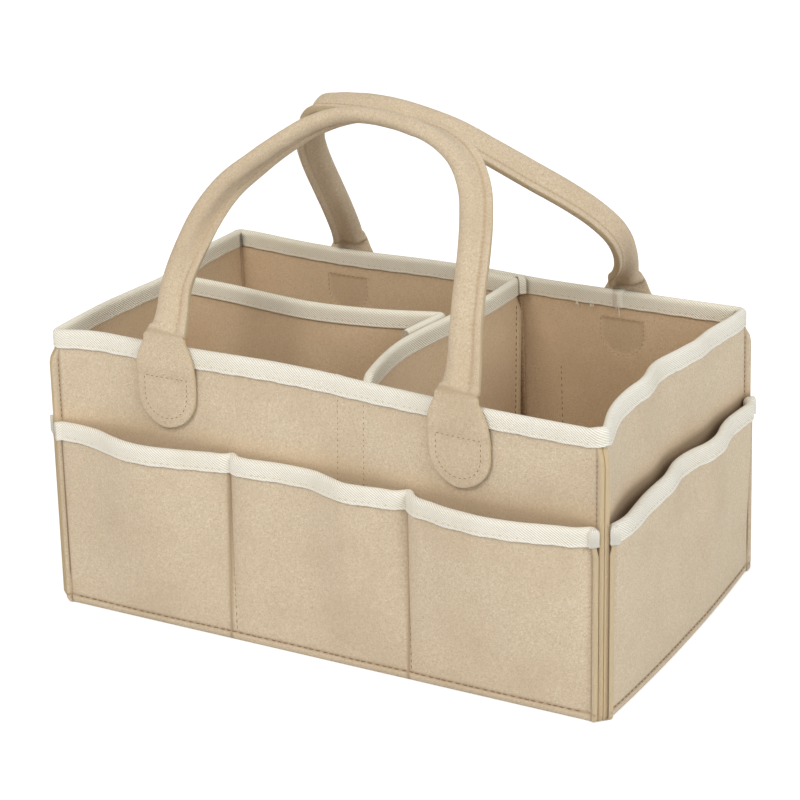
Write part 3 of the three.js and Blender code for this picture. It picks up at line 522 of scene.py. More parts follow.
# The pockets: a second felt layer on every side, sewn in with the corner seams and along the bottom,
# and sewn down in two places on the front and back. Each mouth stands off its wall.
DIVISIONS = (-60.0, 65.0)
END_MOUTHS = {"right": 12.0, "left": 6.5}
BOTTOM_STITCH, STITCH_DIP, FLANGE_STITCH, TAPE_SLACK = 5.6, 0.5, 2.0, 0.45
POCKET_FELT_TOP, TAPE_ROOM = POCKET_TOP - TAPE - SEWN_GAP, TAPE_SLACK + TAPE_PROUD
left_mouth = [(0, 0), (0.04, 0.4), (0.136, 2.6), (0.23, 5.6), (0.33, 10.4), (0.42, 13.4), (0.52, 14.6),
              (0.614, 13.6), (0.71, 11.2), (0.806, 8.5), (0.9, 5.6), (0.97, 3.6), (1, 0)]
middle_mouth = [(0, 0), (0.03, 3.0), (0.096, 4.6), (0.19, 3.2), (0.29, 1.9), (0.384, 1.9), (0.48, 2.9),
                (0.576, 6.8), (0.67, 10.4), (0.77, 9.2), (0.864, 7.0), (0.965, 4.2), (1, 0)]
right_mouth = [(0, 0), (0.03, 4.4), (0.07, 8.0), (0.158, 10.4), (0.258, 13.0), (0.358, 14.0), (0.458, 15.0),
               (0.558, 14.4), (0.658, 13.2), (0.758, 10.3), (0.858, 7.4), (0.95, 4.6), (1, 0)]
long_mouths = [eased(left_mouth), eased(middle_mouth), eased(right_mouth)]
end_mouth = eased([(-1, 0), (-0.9, 0.35), (-0.7, 0.57), (-0.46, 0.55), (-0.25, 0.5), (-0.06, 0.43),
                   (0.11, 0.5), (0.27, 0.73), (0.4, 0.65), (0.55, 0.45), (0.7, 0.34), (0.83, 0.34),
                   (0.93, 0.36), (1, 0)])
stops = np.array([-1.0, DIVISIONS[0] / CORNER_X, DIVISIONS[1] / CORNER_X, 1.0])
near_stops = (stops[1:3, None] + np.array([-0.022, -0.012, -0.005, 0, 0.005, 0.012, 0.022])).ravel()


def mouth_swell(key):
    """How far a pocket stands off its wall: a measured curve between two sewn places or two corners,
    times a quarter sine of the height, so that it shrinks to nothing at the base."""
    def swell(share, z):
        rise = np.sin(np.pi / 2 * np.clip(z / POCKET_TOP, 0, 1))
        if key in END_MOUTHS:
            return END_MOUTHS[key] * end_mouth(share) * rise
        pocket = np.clip(np.searchsorted(stops, share, side="right") - 1, 0, 2)
        across = (share - stops[pocket]) / (stops[pocket + 1] - stops[pocket])
        return np.choose(pocket, [mouth(np.clip(across, 0, 1)) for mouth in long_mouths]) * rise
    return swell


def pocket_offset(z):
    """Offset of a pocket's inner face: close to the wall at the base, wider under the tape. Below
    the stitches along the bottom, the felt bulges out into a lip that curls under."""
    opening = np.clip(z / (POCKET_TOP - TAPE_WIDTH - SEWN_GAP), 0, 1)
    lip = 1.1 * np.sin(np.pi * np.clip(1.12 - z / BOTTOM_STITCH, 0, 1) ** 0.8)
    return FELT + SEWN_GAP + (TAPE_ROOM - SEWN_GAP) * opening + np.clip(lip, 0, None)


def sewn_offset(z):
    """Offset of a pocket's inner face inside a corner seam: tight, but for the tape near the top."""
    return FELT + SEWN_GAP + (TAPE_ROOM - SEWN_GAP) * smooth((z - POCKET_TOP + TAPE_WIDTH + 6) / 6)


def pocket_layer(key, offset, z):
    """Level lines of the middle of a pocket's felt or tape."""
    near = near_stops if key in TAB_PLACES else ()
    return sides[key].layer(offset + FELT / 2, z, SEAM_RUN - foot(z), mouth_swell(key), 170, near,
                            sewn_offset(z) + FELT / 2)


lip_rows = np.array([1.6, 2.4, 3.2, 4.0, 4.7, 5.2, 5.6, 6.0, 6.5, 7.2, 8.4, 10.0, 12.0])
heights, halves = sheet_section(0.0, POCKET_FELT_TOP, FELT, 30, lip_rows)
dip = np.exp(-((heights - BOTTOM_STITCH) / 0.9) ** 2) * (halves > 0)
for key, side in sides.items():
    lines = pocket_layer(key, pocket_offset(heights), heights)
    half, raw, painted_shade = tip_shades(lines, halves)
    rings = lines + level_normals(lines) * (half - STITCH_DIP * dip)[..., None]
    # Painted shade in the groove of the stitches along the bottom, and along the sewn-down fold lines.
    painted_shade = np.maximum(painted_shade, dip * 0.75)
    for stop in stops[1:3] if key in TAB_PLACES else ():
        fold = np.exp(-((lines @ side.along / CORNER_X - stop) / 0.006) ** 2)
        painted_shade = np.maximum(painted_shade, fold * (halves > 0) * 0.9)
    raw = np.maximum(raw, np.clip(1 - heights / 1.2, 0, 1) * 0.9)
    loft(key + "_pocket_felt", rings, felt, "caddy", [key + "_pocket"], raw=raw, painted_shade=painted_shade)


def on_pocket(key, share, z, lift):
    """A row of points on a pocket's outer face, with its outward direction."""
    swell = mouth_swell(key)(share, z)
    return sides[key].face(share, pocket_offset(z) + FELT + lift, z, swell), sides[key].out


rows = [on_pocket(key, np.linspace(-0.975, 0.975, 120), np.full(120, BOTTOM_STITCH), -0.5) for key in sides]
stitch_rows("bottom_stitches", rows, dark_thread, "caddy", length=3.7, radius=0.36, sink=0.02)
rows = []
for key in TAB_PLACES:
    for stop in stops[1:3]:
        z = np.linspace(7.0, POCKET_TOP - 1.5, 60)
        rows.append(on_pocket(key, np.full(60, stop), z, TAPE * np.clip(z - POCKET_TOP + TAPE_WIDTH, 0, 1)))
        rows.append((sides[key].at_run(stop * CORNER_X, 0, z), -sides[key].out))
stitch_rows("division_stitches", rows, dark_thread, "caddy", pitch=4.4, length=3.2, radius=0.26)


def flange_row(side, end, offset, low, high):
    """A row of points up the outer face of a corner seam, close to its fold."""
    return (side.seam(end, offset, np.linspace(low, high, 40), np.full(40, FLANGE_STITCH)),
            (side.out - side.along * end) / np.sqrt(2))


rows = []
for side in sides.values():
    for end in (-1.0, 1.0):
        rows.append(flange_row(side, end, FELT + SEWN_GAP + FELT, 4.0, POCKET_TOP - TAPE_WIDTH - 8))
        rows.append(flange_row(side, end, FELT, POCKET_TOP + 1, RIM - TAPE_WIDTH - 5))
stitch_rows("corner_stitches", rows, dark_thread, "caddy", pitch=3.4, length=2.9, radius=0.28)

# The pocket tapes: cream twill, folded over each mouth and sewn through close to its lower edge. At
# the corners they run out over the seams, and a folded end of tape covers each cut.
TAPE_STITCH, TAPE_FACE = 2.6, FELT / 2 + TAPE_PROUD - 0.1
# Warmer tape tones for faces inside the box: painted bounce light.
PAINTED_TAPE_BOUNCE_TONES = paint(216, 205, 178), paint(246, 238, 218), paint(254, 250, 236)


def twill_finish(name, *tones):
    """Cotton twill tape: raised ribs that run down to the right at a steep slant, lighter on top
    from wear, with the fine threads of the weave across them, a bright woven edge, painted shade
    along the stitches and warmer painted bounce light inside the box."""
    def look(place, cloth, raw, painted_shade, inner):
        parts = cloth.node("ShaderNodeSeparateXYZ", {}, {0: cloth}, output=0)
        across = Socket(parts.tree, parts.socket.node.outputs[1])
        # Faces inside the box take the warmer tones of painted bounce light.
        dark, body, light = map(inner.blend, tones, PAINTED_TAPE_BOUNCE_TONES)
        wander = place.noise(160.0, 2.0, 0.5) * 2.4
        ribs = (parts * 3000.0 + across * 3900.0 + wander).math("SINE") * 0.5 + 0.5
        yarns = (across * 9500.0 - parts * 2500.0).math("SINE") * 0.5 + 0.5
        fuzz = place.noise(1500.0, 3.0, 0.7)
        tone = ribs * 0.5 + yarns * 0.1 + fuzz * 0.5
        colour = tone.between(0.25, 0.62).blend(dark, body)
        colour = tone.between(0.6, 0.9).blend(colour, light)
        soil = place.noise(16.0, 3.0, 0.6).between(0.45, 0.7) * 0.3
        colour = soil.blend(colour, dark)
        colour = (raw * 0.8).blend(colour, light)
        # Painted shade: darker along the stitched line.
        return (painted_shade * 0.8).blend(colour, dark), ribs * 0.9 + fuzz * 0.6
    return cloth_material(name, 0.9, 0.15, look, 0.75, 0.0006)


twill = twill_finish("twill_tape", paint(214, 204, 180), paint(242, 236, 223), paint(253, 250, 243))
tape_thread = thread_finish("cream_tape_thread", paint(200, 184, 154), paint(232, 220, 196))


def tape_section(top, felt_thickness=FELT):
    """The tape's closed section as offset and height: up its outside, round the fold and down, then
    back along its inside. Its hems are a little thicker and stand off the felt."""
    half = felt_thickness / 2 + TAPE_PROUD
    inner_half = half - TAPE
    fold = np.linspace(0, np.pi, 9)[1:-1]
    rise = np.array([0.0, 0.35, 1.0, 2.4, 4.5, 6.8, TAPE_WIDTH - half])
    swell = np.array([-0.3, 0.12, 0.1, -0.12, 0.0, 0.05, 0.0])
    low = top - TAPE_WIDTH + rise
    hem_lift = np.array([0.05, 0, 0, 0, 0, 0, 0])
    over = np.stack([half * np.cos(fold), top - half + half * 0.98 * np.sin(fold)])
    inner_over = np.stack([inner_half * np.cos(fold), top - half + inner_half * np.sin(fold)])
    skin = [[half + swell, low], over, [-(half + swell)[::-1], low[::-1]]]
    lining = [[inner_half + swell, low + hem_lift], inner_over, [-(inner_half + swell)[::-1], low[::-1]]]
    return np.concatenate([np.concatenate(skin, axis=1), np.concatenate(lining, axis=1)[:, ::-1]], axis=1)


def pull_hems(rings, heights, top):
    """Moves a tape's hems up and down by a few tenths, as the sewing pulls them."""
    x, y = rings[..., 0], rings[..., 1]
    wander = np.sin(x * 0.31 + y * 0.23) + 0.6 * np.sin(x * 1.13 - y * 0.91)
    rings[..., 2] += 0.22 * wander * np.clip(1 - (heights - top + TAPE_WIDTH) / 4, 0, 1)


def tape_shades(heights, top):
    """How bright a tape's woven edge looks, and the painted shade just above it, where stitches press it.
    """
    above = heights - top + TAPE_WIDTH
    return np.clip(1 - above / 1.3, 0, 1), np.exp(-((above - TAPE_STITCH) / 0.7) ** 2) * 0.25


def tape_stitches(name, rows, body):
    """The small cream stitches of every tape."""
    stitch_rows(name, rows, tape_thread, body, pitch=4.8, length=1.9, radius=0.3)


offsets, heights = tape_section(POCKET_TOP)
raw, painted_shade = tape_shades(heights, POCKET_TOP)
skin = len(heights) // 2
end_offsets = offsets[:skin] + np.sign(offsets[:skin]) * 0.1
rows = []
for key, side in sides.items():
    for end, name in ((-1.0, "_first"), (1.0, "_last")):
        stand = np.linspace(3.4, SEAM_RUN + 0.9, 6)[:, None]
        middle = side.seam(end, FELT + TAPE_ROOM + FELT / 2, heights[None, :skin], stand)
        across = (side.out - side.along * end) * np.sqrt(0.5)
        rings = middle + across * end_offsets[None, :, None]
        loft(key + name + "_twill_end", rings, twill, "caddy", raw=raw[:skin] * 0.5)
    lines = pocket_layer(key, np.full(len(heights), FELT + TAPE_ROOM), heights)
    rings = lines + level_normals(lines) * offsets[None, :, None]
    pull_hems(rings, heights, POCKET_TOP)
    # The tape takes painted shade along its stitched line.
    loft(key + "_pocket_twill", rings, twill, "caddy", [key + "_pocket_binding"], raw=raw, painted_shade=painted_shade)
    z = np.full(160, POCKET_TOP - TAPE_WIDTH + TAPE_STITCH)
    share = np.linspace(-0.985, 0.985, 160)
    for offset, sign in ((FELT + TAPE_ROOM + TAPE_PROUD + FELT, 1.0), (FELT + TAPE_SLACK, -1.0)):
        rows.append((side.face(share, offset, z, mouth_swell(key)(share, z)), sign * side.out))
tape_stitches("pocket_twill_stitches", rows, "caddy")

# The rim tape: the same twill in one length round the whole rim. Its two ends overlap on the back.
RIM_CORNER, JOIN_X, JOIN_Y, JOIN_HALF, JOIN_LIFT = 3.5, 101.0, 100.0, 4.5, 0.5


def rim_lines(heights, offset):
    """The rim's closed line at each height: each side in turn, then a quarter round to the next."""
    parts = []
    turn = np.linspace(0, np.pi / 2, 9)[1:-1, None]
    inner = 1 - (RIM_CORNER + 0.5) / CORNER_Y
    for side in sides.values():
        parts.append(side.face(np.linspace(-inner, inner, 110)[:, None], offset, heights))
        run, reach = (length(heights) + offset - RIM_CORNER for length in (side.run, side.reach))
        run, reach = run + RIM_CORNER * np.sin(turn), reach + RIM_CORNER * np.cos(turn)
        parts.append(side.place(run, reach, heights))
    return np.concatenate(parts)


def two_faces(line, closed=False):
    """Rows of points on both faces of a tape, for the stitches that go through it."""
    outward = level_normals(line, closed)
    return [(line + outward * TAPE_FACE, outward), (line - outward * TAPE_FACE, -outward)]


offsets, heights = tape_section(RIM)
raw, painted_shade = tape_shades(heights, RIM)
lines = rim_lines(heights, FELT / 2)
outward = level_normals(lines, closed=True)
rings = lines + outward * offsets[None, :, None]
pull_hems(rings, heights, RIM)
rings[..., 2] += 0.25 * np.sin(rings[..., 0] / 23 + rings[..., 1] / 31)
# The tape's inner face takes the painted bounce light of the box's inside, and its stitched line painted
# shade.
loft("rim_twill", rings, twill, "caddy", ["rim_binding"], closed=True, raw=raw, painted_shade=painted_shade,
     inner=offsets < 0)
middle = rings.mean(axis=1)
overlap = (middle[:, 1] > JOIN_Y) & (np.abs(middle[:, 0] - JOIN_X) < JOIN_HALF)
end_rings = (rings + outward * np.sign(offsets)[None, :, None] * JOIN_LIFT)[overlap]
end_rings[..., 2] += JOIN_LIFT * np.clip((heights - RIM + 5) / 5, 0, 1)
fray = np.abs(np.linspace(-1, 1, len(end_rings)))[:, None] > 0.7
# The joined end takes the same painted bounce light on its inner face.
loft("rim_twill_join", end_rings, twill, "caddy", raw=np.maximum(raw[None], fray * 0.35), inner=offsets < 0)
line = rim_lines(np.array([RIM - TAPE_WIDTH + TAPE_STITCH]), FELT / 2)[:, 0]
tape_stitches("rim_twill_stitches", two_faces(line, closed=True), "caddy")

# The loop strips on the walls: woven nylon with a fine pile, sewn on near the middle of the front,
# back and left walls, where the dividers' hook strips press on.
STRIP, STRIP_BOTTOM, STRIP_TOP, STRIP_GAP, STRIP_STITCH = 1.875, 62.0, 170.0, 0.3, 1.9


def pile_finish(name, dark, light):
    """Hook and loop strip: rows of small curled loops over a woven ground."""
    def look(place, cloth, raw, painted_shade, inner):
        loops = place.noise(1500.0, 3.0, 0.7, 2.0)
        rows = place.node("ShaderNodeTexVoronoi", {}, {"Vector": place, "Scale": 800.0})
        tone = loops * 0.6 + rows * 0.5
        return tone.between(0.25, 0.75).blend(dark, light), tone
    return cloth_material(name, 0.85, 0.3, look, 0.8, 0.0006)


pile = pile_finish("strip_pile", paint(146, 116, 82), paint(196, 162, 122))
heights, halves = sheet_section(STRIP_BOTTOM, STRIP_TOP, STRIP, 20)
rows = []
for key, low, high in (("front", 11.0, 33.0), ("back", -33.0, -11.0), ("left", -33.0, -11.0)):
    side = sides[key]
    lines = side.at_run(np.linspace(low, high, 12)[:, None], -STRIP_GAP - STRIP / 2, heights)
    rings = lines + level_normals(lines) * halves[None, :, None]
    loft(key + "_loop_strip", rings, pile, "caddy", [key + "_loop"])
    z = np.linspace(STRIP_BOTTOM + 2, RIM - TAPE_WIDTH - 1, 60)
    rows += [(side.at_run(run, FELT, z), side.out) for run in (low + STRIP_STITCH, high - STRIP_STITCH)]
stitch_rows("strip_stitches", rows, dark_thread, "caddy", pitch=3.6, length=2.3, radius=0.2, sink=0.14)

# The cross divider: a felt panel that sways to the left, with a narrow flap sewn on at each end by a
# corner seam like the walls', one twill tape over everything, and hook strips on the flaps.
STAND_OFF, CROSS_FLAP, CROSS_LANDING, CROSS_SEAM = 4.647, 23.0, 6.0, 5.2
TUCK_REACH, TUCK_DROP, STRIP_MIDDLE = 14.0, 10.0, FELT / 2 + STRIP_GAP + STRIP / 2
FLAP_MIDDLE = -(STAND_OFF + FELT / 2)
FLOOR_TOP = FELT + SEWN_GAP
CROSS_LEFTMOST, CROSS_SWAY = 17.0, 13.0
cross_sway = eased([(-1, 0.72), (-0.9, 0.6), (-0.68, 0.25), (-0.3, 0), (-0.08, 0.2), (0.2, 0.55),
                    (0.57, 0.89), (1, 1)])
cross_half = float(depth_at(RIM)) + FLAP_MIDDLE


def beside(key, run_place, offset):
    """Plan points beside a side's rim, from their x on the long sides or their y on the ends."""
    side = sides[key]
    run = run_place * (side.along[0] + side.along[1]) - lean_at(RIM) * side.along[0]
    return side.at_run(run, offset, np.full_like(run, RIM))[:, :2]


def rounded(points, radius, spacing=1.5):
    """A plan line through corner points with each corner cut by a curve of about that radius, in even
    short steps."""
    made = [points[:1]]
    for before, corner, after in zip(points[:-2], points[1:-1], points[2:]):
        arrive, leave = corner - before, after - corner
        reach = min(radius, np.linalg.norm(arrive) * 0.45, np.linalg.norm(leave) * 0.45)
        first, last = corner - unit(arrive) * reach, corner + unit(leave) * reach
        turn = np.linspace(0, 1, 7)[:, None]
        made.append((1 - turn) ** 2 * first + 2 * turn * (1 - turn) * corner + turn ** 2 * last)
    line = np.concatenate([*made, points[-1:]])
    reach = reach_along(line)
    return at_stops(np.linspace(0, reach[-1], max(int(reach[-1] / spacing), 8)), reach, line)


def standing(plan, heights, widths):
    """Rings of a panel or tape that stands on a plan line: the section's offsets go along the line's
    level normals."""
    lines = np.empty((len(plan), len(heights), 3))
    lines[..., :2] = plan[:, None] if plan.ndim == 2 else plan
    lines[..., 2] = heights
    return lines + level_normals(lines) * widths[None, :, None]


def seam_tail(corner, to_other, own):
    """A panel's own layer of a corner seam: the place where it folds, a start beside the diagonal,
    and the direction straight out along it."""
    outward = -(own + to_other) * np.sqrt(0.5)
    aside = (own - to_other) * np.sqrt(0.5) * (SEWN_GAP + FELT) / 2
    start = corner + own * FELT / 2 + to_other * FELT / 2 + aside
    return start + outward * (np.sqrt(2) * FELT / 2 - (SEWN_GAP + FELT) / 2), start, outward


def seamed(line, tails, heights):
    """A panel's plan line at each height, with a seam tail at one or both ends. The tail's stand grows
    below the tape."""
    stand = SEAM_STUB + (CROSS_SEAM - SEAM_STUB) * np.clip((RIM - TAPE_WIDTH - heights) / SEAM_FADE, 0, 1)
    parts = [np.broadcast_to(line[:, None], (len(line), len(heights), 2))]
    for at_end, (fold, start, outward) in tails:
        tip = start + outward * stand[:, None]
        arm = fold + (tip - fold) * np.linspace(0, 1, 6)[:, None, None]
        parts = [*parts, arm] if at_end else [arm[::-1], *parts]
    plan = np.concatenate(parts)
    plan[1:-1] = (plan[:-2] + 2 * plan[1:-1] + plan[2:]) / 4
    return plan


def tucked(rings):
    """Lowers the tops of what stands close to the front wall, whose rim tape holds them down."""
    near = smooth((-cross_half + TUCK_REACH - rings[..., 1]) / TUCK_REACH)
    rings[..., 2] -= TUCK_DROP * near * np.clip(rings[..., 2] / RIM, 0, 1) ** 8
    return rings


def divider_felt(name, plan, body, node, cut):
    """A divider's felt on a plan line, raw at the stations where it is cut."""
    rings = tucked(standing(plan, *felt_section))
    raw = np.zeros(rings.shape[:2])
    raw[cut] = 1.0
    # The divider's felt takes the painted bounce light of the box's inside.
    loft(name, rings, felt, body, [node], raw=raw, inner=1.0)


def divider_tape(key, plan):
    """The tape folded over a divider's top edge, with the stitches on both its faces."""
    body = key + "_divider"
    rings = tucked(standing(plan, tape_heights, tape_offsets))
    # The tape takes the painted bounce light of the box's inside, and painted shade along its stitched
    # line.
    loft(key + "_twill", rings, twill, body, [body + "_binding"], raw=tape_raw, painted_shade=tape_painted_shade,
         inner=1.0)
    line = np.pad(plan, ((0, 0), (0, 1)), constant_values=RIM - TAPE_WIDTH + TAPE_STITCH)
    tape_stitches(key + "_twill_stitches", two_faces(tucked(line)), body)


def strip(name, plan, body, node):
    """A hook or loop strip on a plan line."""
    loft(name, standing(plan, *strip_section), pile, body, [node])


felt_section = sheet_section(FLOOR_TOP, WALL_TOP, FELT, 34)
strip_section = sheet_section(STRIP_BOTTOM, STRIP_TOP, STRIP, 16)
tape_offsets, tape_heights = tape_section(RIM)
tape_raw, tape_painted_shade = tape_shades(tape_heights, RIM)
wide_offsets, wide_heights = tape_section(RIM + 1.0, 2 * FELT + SEWN_GAP)
wide_raw, wide_painted_shade = tape_shades(wide_heights, RIM + 1.0)
to_left, to_front, to_back = np.array([-1.0, 0.0]), np.array([0.0, -1.0]), np.array([0.0, 1.0])
cross_y = np.linspace(-cross_half + CROSS_LANDING, cross_half - CROSS_LANDING, 60)
cross_line = np.stack([CROSS_LEFTMOST + CROSS_SWAY * cross_sway(cross_y / cross_half), cross_y], axis=-1)
flaps, panel_tails, seam_rows = [], [], []
for key, end, own, away in (("front", -1.0, to_back, to_front), ("back", 1.0, to_front, to_back)):
    corner_x = CROSS_LEFTMOST + CROSS_SWAY * float(cross_sway(end))
    flap = beside(key, corner_x - CROSS_FLAP * (1 - np.linspace(0, 1, 8)), FLAP_MIDDLE)
    fold, start, outward = seam_tail(flap[-1], to_left, own)
    flaps.append(flap)
    panel_tails.append((end > 0, (fold, start, outward)))
    plan = seamed(flap[:-1], [(True, seam_tail(flap[-1], own, to_left))], felt_section[0])
    divider_felt(f"cross_{key}_flap_felt", plan, "cross_divider", f"cross_{key}_flap", [0, -2, -1])
    plan = flap[-1] + outward * np.linspace(1.0, CROSS_SEAM + 0.6, 8)[:, None]
    rings = tucked(standing(plan, wide_heights, wide_offsets))
    # The seam's tape takes the painted bounce light of the box's inside, and painted shade along its
    # stitches.
    loft(f"cross_{key}_seam_twill", rings, twill, "cross_divider", raw=wide_raw, painted_shade=wide_painted_shade,
         inner=1.0)
    line = np.append(fold, 0.0) + np.linspace(FLOOR_TOP + 4, RIM - TAPE_WIDTH - 4, 60)[:, None] * [0, 0, 1]
    face = np.array([-outward[1], outward[0], 0.0]) * -np.sign(outward[1])
    seam_rows.append((line + np.append(outward, 0.0) * 1.2 + face * FELT / 2, face))
    strip(f"cross_{key}_hook_strip", flap[:-3] + away * STRIP_MIDDLE, "cross_divider", f"cross_{key}_hook")
plan = seamed(cross_line, panel_tails, felt_section[0])
divider_felt("cross_felt", plan, "cross_divider", "cross_divider", [0, 1, -2, -1])
divider_tape("cross", rounded(np.concatenate([flaps[0], cross_line, flaps[1][::-1]]), 4.0))
stitch_rows("cross_seam_stitches", seam_rows, dark_thread, "cross_divider", pitch=4.2, length=3.0,
            radius=0.3)

# The long divider: one felt panel that runs from the left wall to the cross divider. It is folded at
# both ends: a narrow flap lies on the left wall and a wide one on the cross divider's face.
LONG_MIDDLE, LONG_SWAY, LONG_FLAP, LONG_END_FLAP, LONG_LEFT_PLACE = 2.0, 19.0, 40.0, 22.0, 12.0
long_sway = eased([(0, 0.5), (0.1, 0.45), (0.24, 0.34), (0.4, 0.12), (0.55, 0), (0.7, 0.15),
                   (0.83, 0.43), (0.95, 0.84), (1, 1)])
flap_y = LONG_MIDDLE + LONG_SWAY - LONG_FLAP * np.linspace(0, 1, 12)
flap_x = CROSS_LEFTMOST + CROSS_SWAY * cross_sway(flap_y / cross_half)
long_flap = np.stack([flap_x - STAND_OFF - FELT, flap_y], axis=-1)
end_flap = beside("left", LONG_LEFT_PLACE + LONG_END_FLAP * np.linspace(1, 0, 8), FLAP_MIDDLE)
part = np.linspace(0, 1, 40)[1:-1]
middle_x = end_flap[-1, 0] + (long_flap[0, 0] - end_flap[-1, 0]) * part
long_middle = np.stack([middle_x, LONG_MIDDLE + LONG_SWAY * long_sway(part)], axis=-1)
plan = rounded(np.concatenate([end_flap, long_middle, long_flap]), 4.0)
divider_felt("long_felt", plan, "long_divider", "long_divider", [0, -1])
divider_tape("long", plan)
strip("long_hook_strip", long_flap[3:] - to_left * STRIP_MIDDLE, "long_divider", "long_hook")
plan = long_flap[3:] - to_left * (STAND_OFF + FELT - STRIP_MIDDLE)
strip("cross_loop_strip", plan, "cross_divider", "cross_loop")
strip("long_end_hook_strip", end_flap[:-3] + to_left * STRIP_MIDDLE, "long_divider", "long_end_hook")

# The handles: each is one felt strip, cut wide and round at both ends and folded along its middle
# round a cord. A row of stitches closes it, so that its two edges stand off as a fin that twists
# round the tube. The round ends are sewn over the rim tape as flat tabs with a U of stitches.
TAB_BOTTOM, TAB_HALF, TAB_TOP, NECK_HEIGHT = 133.0, 21.0, 190.5, 193.0
TUBE_BACK, FIN_REACH, TUBE_HALF, FIN_HALF, FIN_STITCH = 6.8, 13.4, 5.2, 2.4, 8.6
SECTION_MIDDLE = (FIN_REACH - TUBE_BACK) / 2
NECK_HALF, FINAL_HALF, NECK_STEPS, NECK_SKIP = 12.6, 10.1, 12, 4
FIN_PINCH, CORD_WIDE, CORD_THICK, BLEND_BELOW, BLEND_RUN = 0.7, 4.0, 2.2, 6.0, 20.0
TAB_GAP, TAB_STEP, TAB_STEP_RUN, NECK_INSIDE, NECK_ABOVE = 0.4, 162.0, 10.0, 4.5, 0.6
NECK_SHIFTS = {"front": -2.5, "back": 1.7}
handle_felt = felt_finish("handle_felt", paint(188, 163, 130), paint(214, 193, 163), paint(235, 217, 191))
fin_thread = thread_finish("fin_thread", paint(180, 153, 116), paint(214, 190, 154))
print_thread = thread_finish("print_thread", paint(168, 140, 106), paint(198, 170, 134))
cord_weave = thread_finish("cord_weave", paint(214, 204, 184), paint(236, 228, 212))
ring_turn = (np.arange(72) + 0.5) / 72 * 2 * np.pi
ring_across, ring_side = np.cos(ring_turn), np.sign(np.sin(ring_turn))


def tube_outline():
    """The handle's section: an ellipse for the tube that runs off flat into the fin, drawn in at the
    row of stitches and slightly open again at the fin's two raw edges."""
    x = SECTION_MIDDLE + ring_across * (FIN_REACH + TUBE_BACK) / 2
    tube = TUBE_HALF * np.sqrt(np.clip(1 - (x / TUBE_BACK) ** 2, 0, 1))
    flank = TUBE_HALF + (FIN_HALF - FIN_PINCH - TUBE_HALF) * smooth((x + 0.5) / (FIN_STITCH + 0.5))
    fin = FIN_HALF - FIN_PINCH * np.exp(-((x - FIN_STITCH) / 1.3) ** 2)
    body = np.where(x < -0.5, tube, np.where(x < FIN_STITCH, np.minimum(flank, TUBE_HALF), fin))
    return x, ring_side * body * np.clip((FIN_REACH - x) / 0.5, 0, 1) ** 0.35


def tab_outline(half):
    """The tab's section: flat felt with rounded cut edges."""
    x = SECTION_MIDDLE + half[:, None] * ring_across
    edge = np.clip(1 - np.abs(ring_across) ** 14, 0, 1) ** 0.4
    return x, np.broadcast_to(ring_side * FELT / 2 * edge, x.shape)


def tab_offset(z):
    """Offset of a tab's inner face: on the wall, then up over the rim tape's hem."""
    return FELT + TAB_GAP + TAPE_PROUD * smooth((z - TAB_STEP) / TAB_STEP_RUN)


def on_side(side, x, offset, z):
    """A point of a side at a given x, whatever the box's lean."""
    return side.at_run(side.along[0] * (x - lean_at(z)), offset, z)


def handle_path(side, necks, shares, rise, lean):
    """The handle's middle line in its leaning plane, with the plane's directions. The line is a
    smooth curve through shares of the spread and the rise."""
    ends = on_side(side, necks, FELT + TAPE_PROUD + TAB_GAP + FELT, np.full(2, NECK_HEIGHT))
    spread, middle = np.linalg.norm(ends[1] - ends[0]) / 2, ends.mean(axis=0)
    across = (ends[1] - ends[0]) / (2 * spread)
    inward = np.cross([0, 0, 1], across)
    up = np.array([0, 0, np.cos(lean)]) + inward * np.sin(lean)
    normal = inward * np.cos(lean) - np.array([0, 0, np.sin(lean)])
    base = middle + normal * NECK_INSIDE + up * NECK_ABOVE
    table = np.array(shares) * [spread, rise]
    reach = reach_along(table)
    steps = np.linspace(0, reach[-1], 300)
    x, y = (eased(np.stack([reach, column], axis=-1))(steps)[:, None] for column in table.T)
    return base + x * across + y * up, across, normal, up, middle


def tab_rows(slope, neck):
    """Heights and half widths of a tab from its round end up to the neck, where its shoulders are
    cut away by the slope."""
    turn = np.radians([5, 12, 20, 30, 42, 54, 66, 78, 90])
    heights = np.concatenate([TAB_BOTTOM + TAB_HALF * (1 - np.cos(turn)), np.linspace(156, TAB_TOP, 22)])
    taper = np.array([21, 21, 20.2, 19, 17.4, 15.4, neck]) - np.array([0, 0, 0.3, 0.8, 1.6, 1.4, 0]) * slope
    widths = np.interp(heights, [154, 170, 176, 180, 184.5, 188, TAB_TOP], taper)
    widths[:9] = TAB_HALF * np.sin(turn)
    return heights, widths


def mirrored(tab, neck, middle):
    """Values along the whole handle, from those of a tab, a neck and the middle: both ends alike."""
    return np.concatenate([tab, neck, middle, neck[::-1], tab[::-1]])


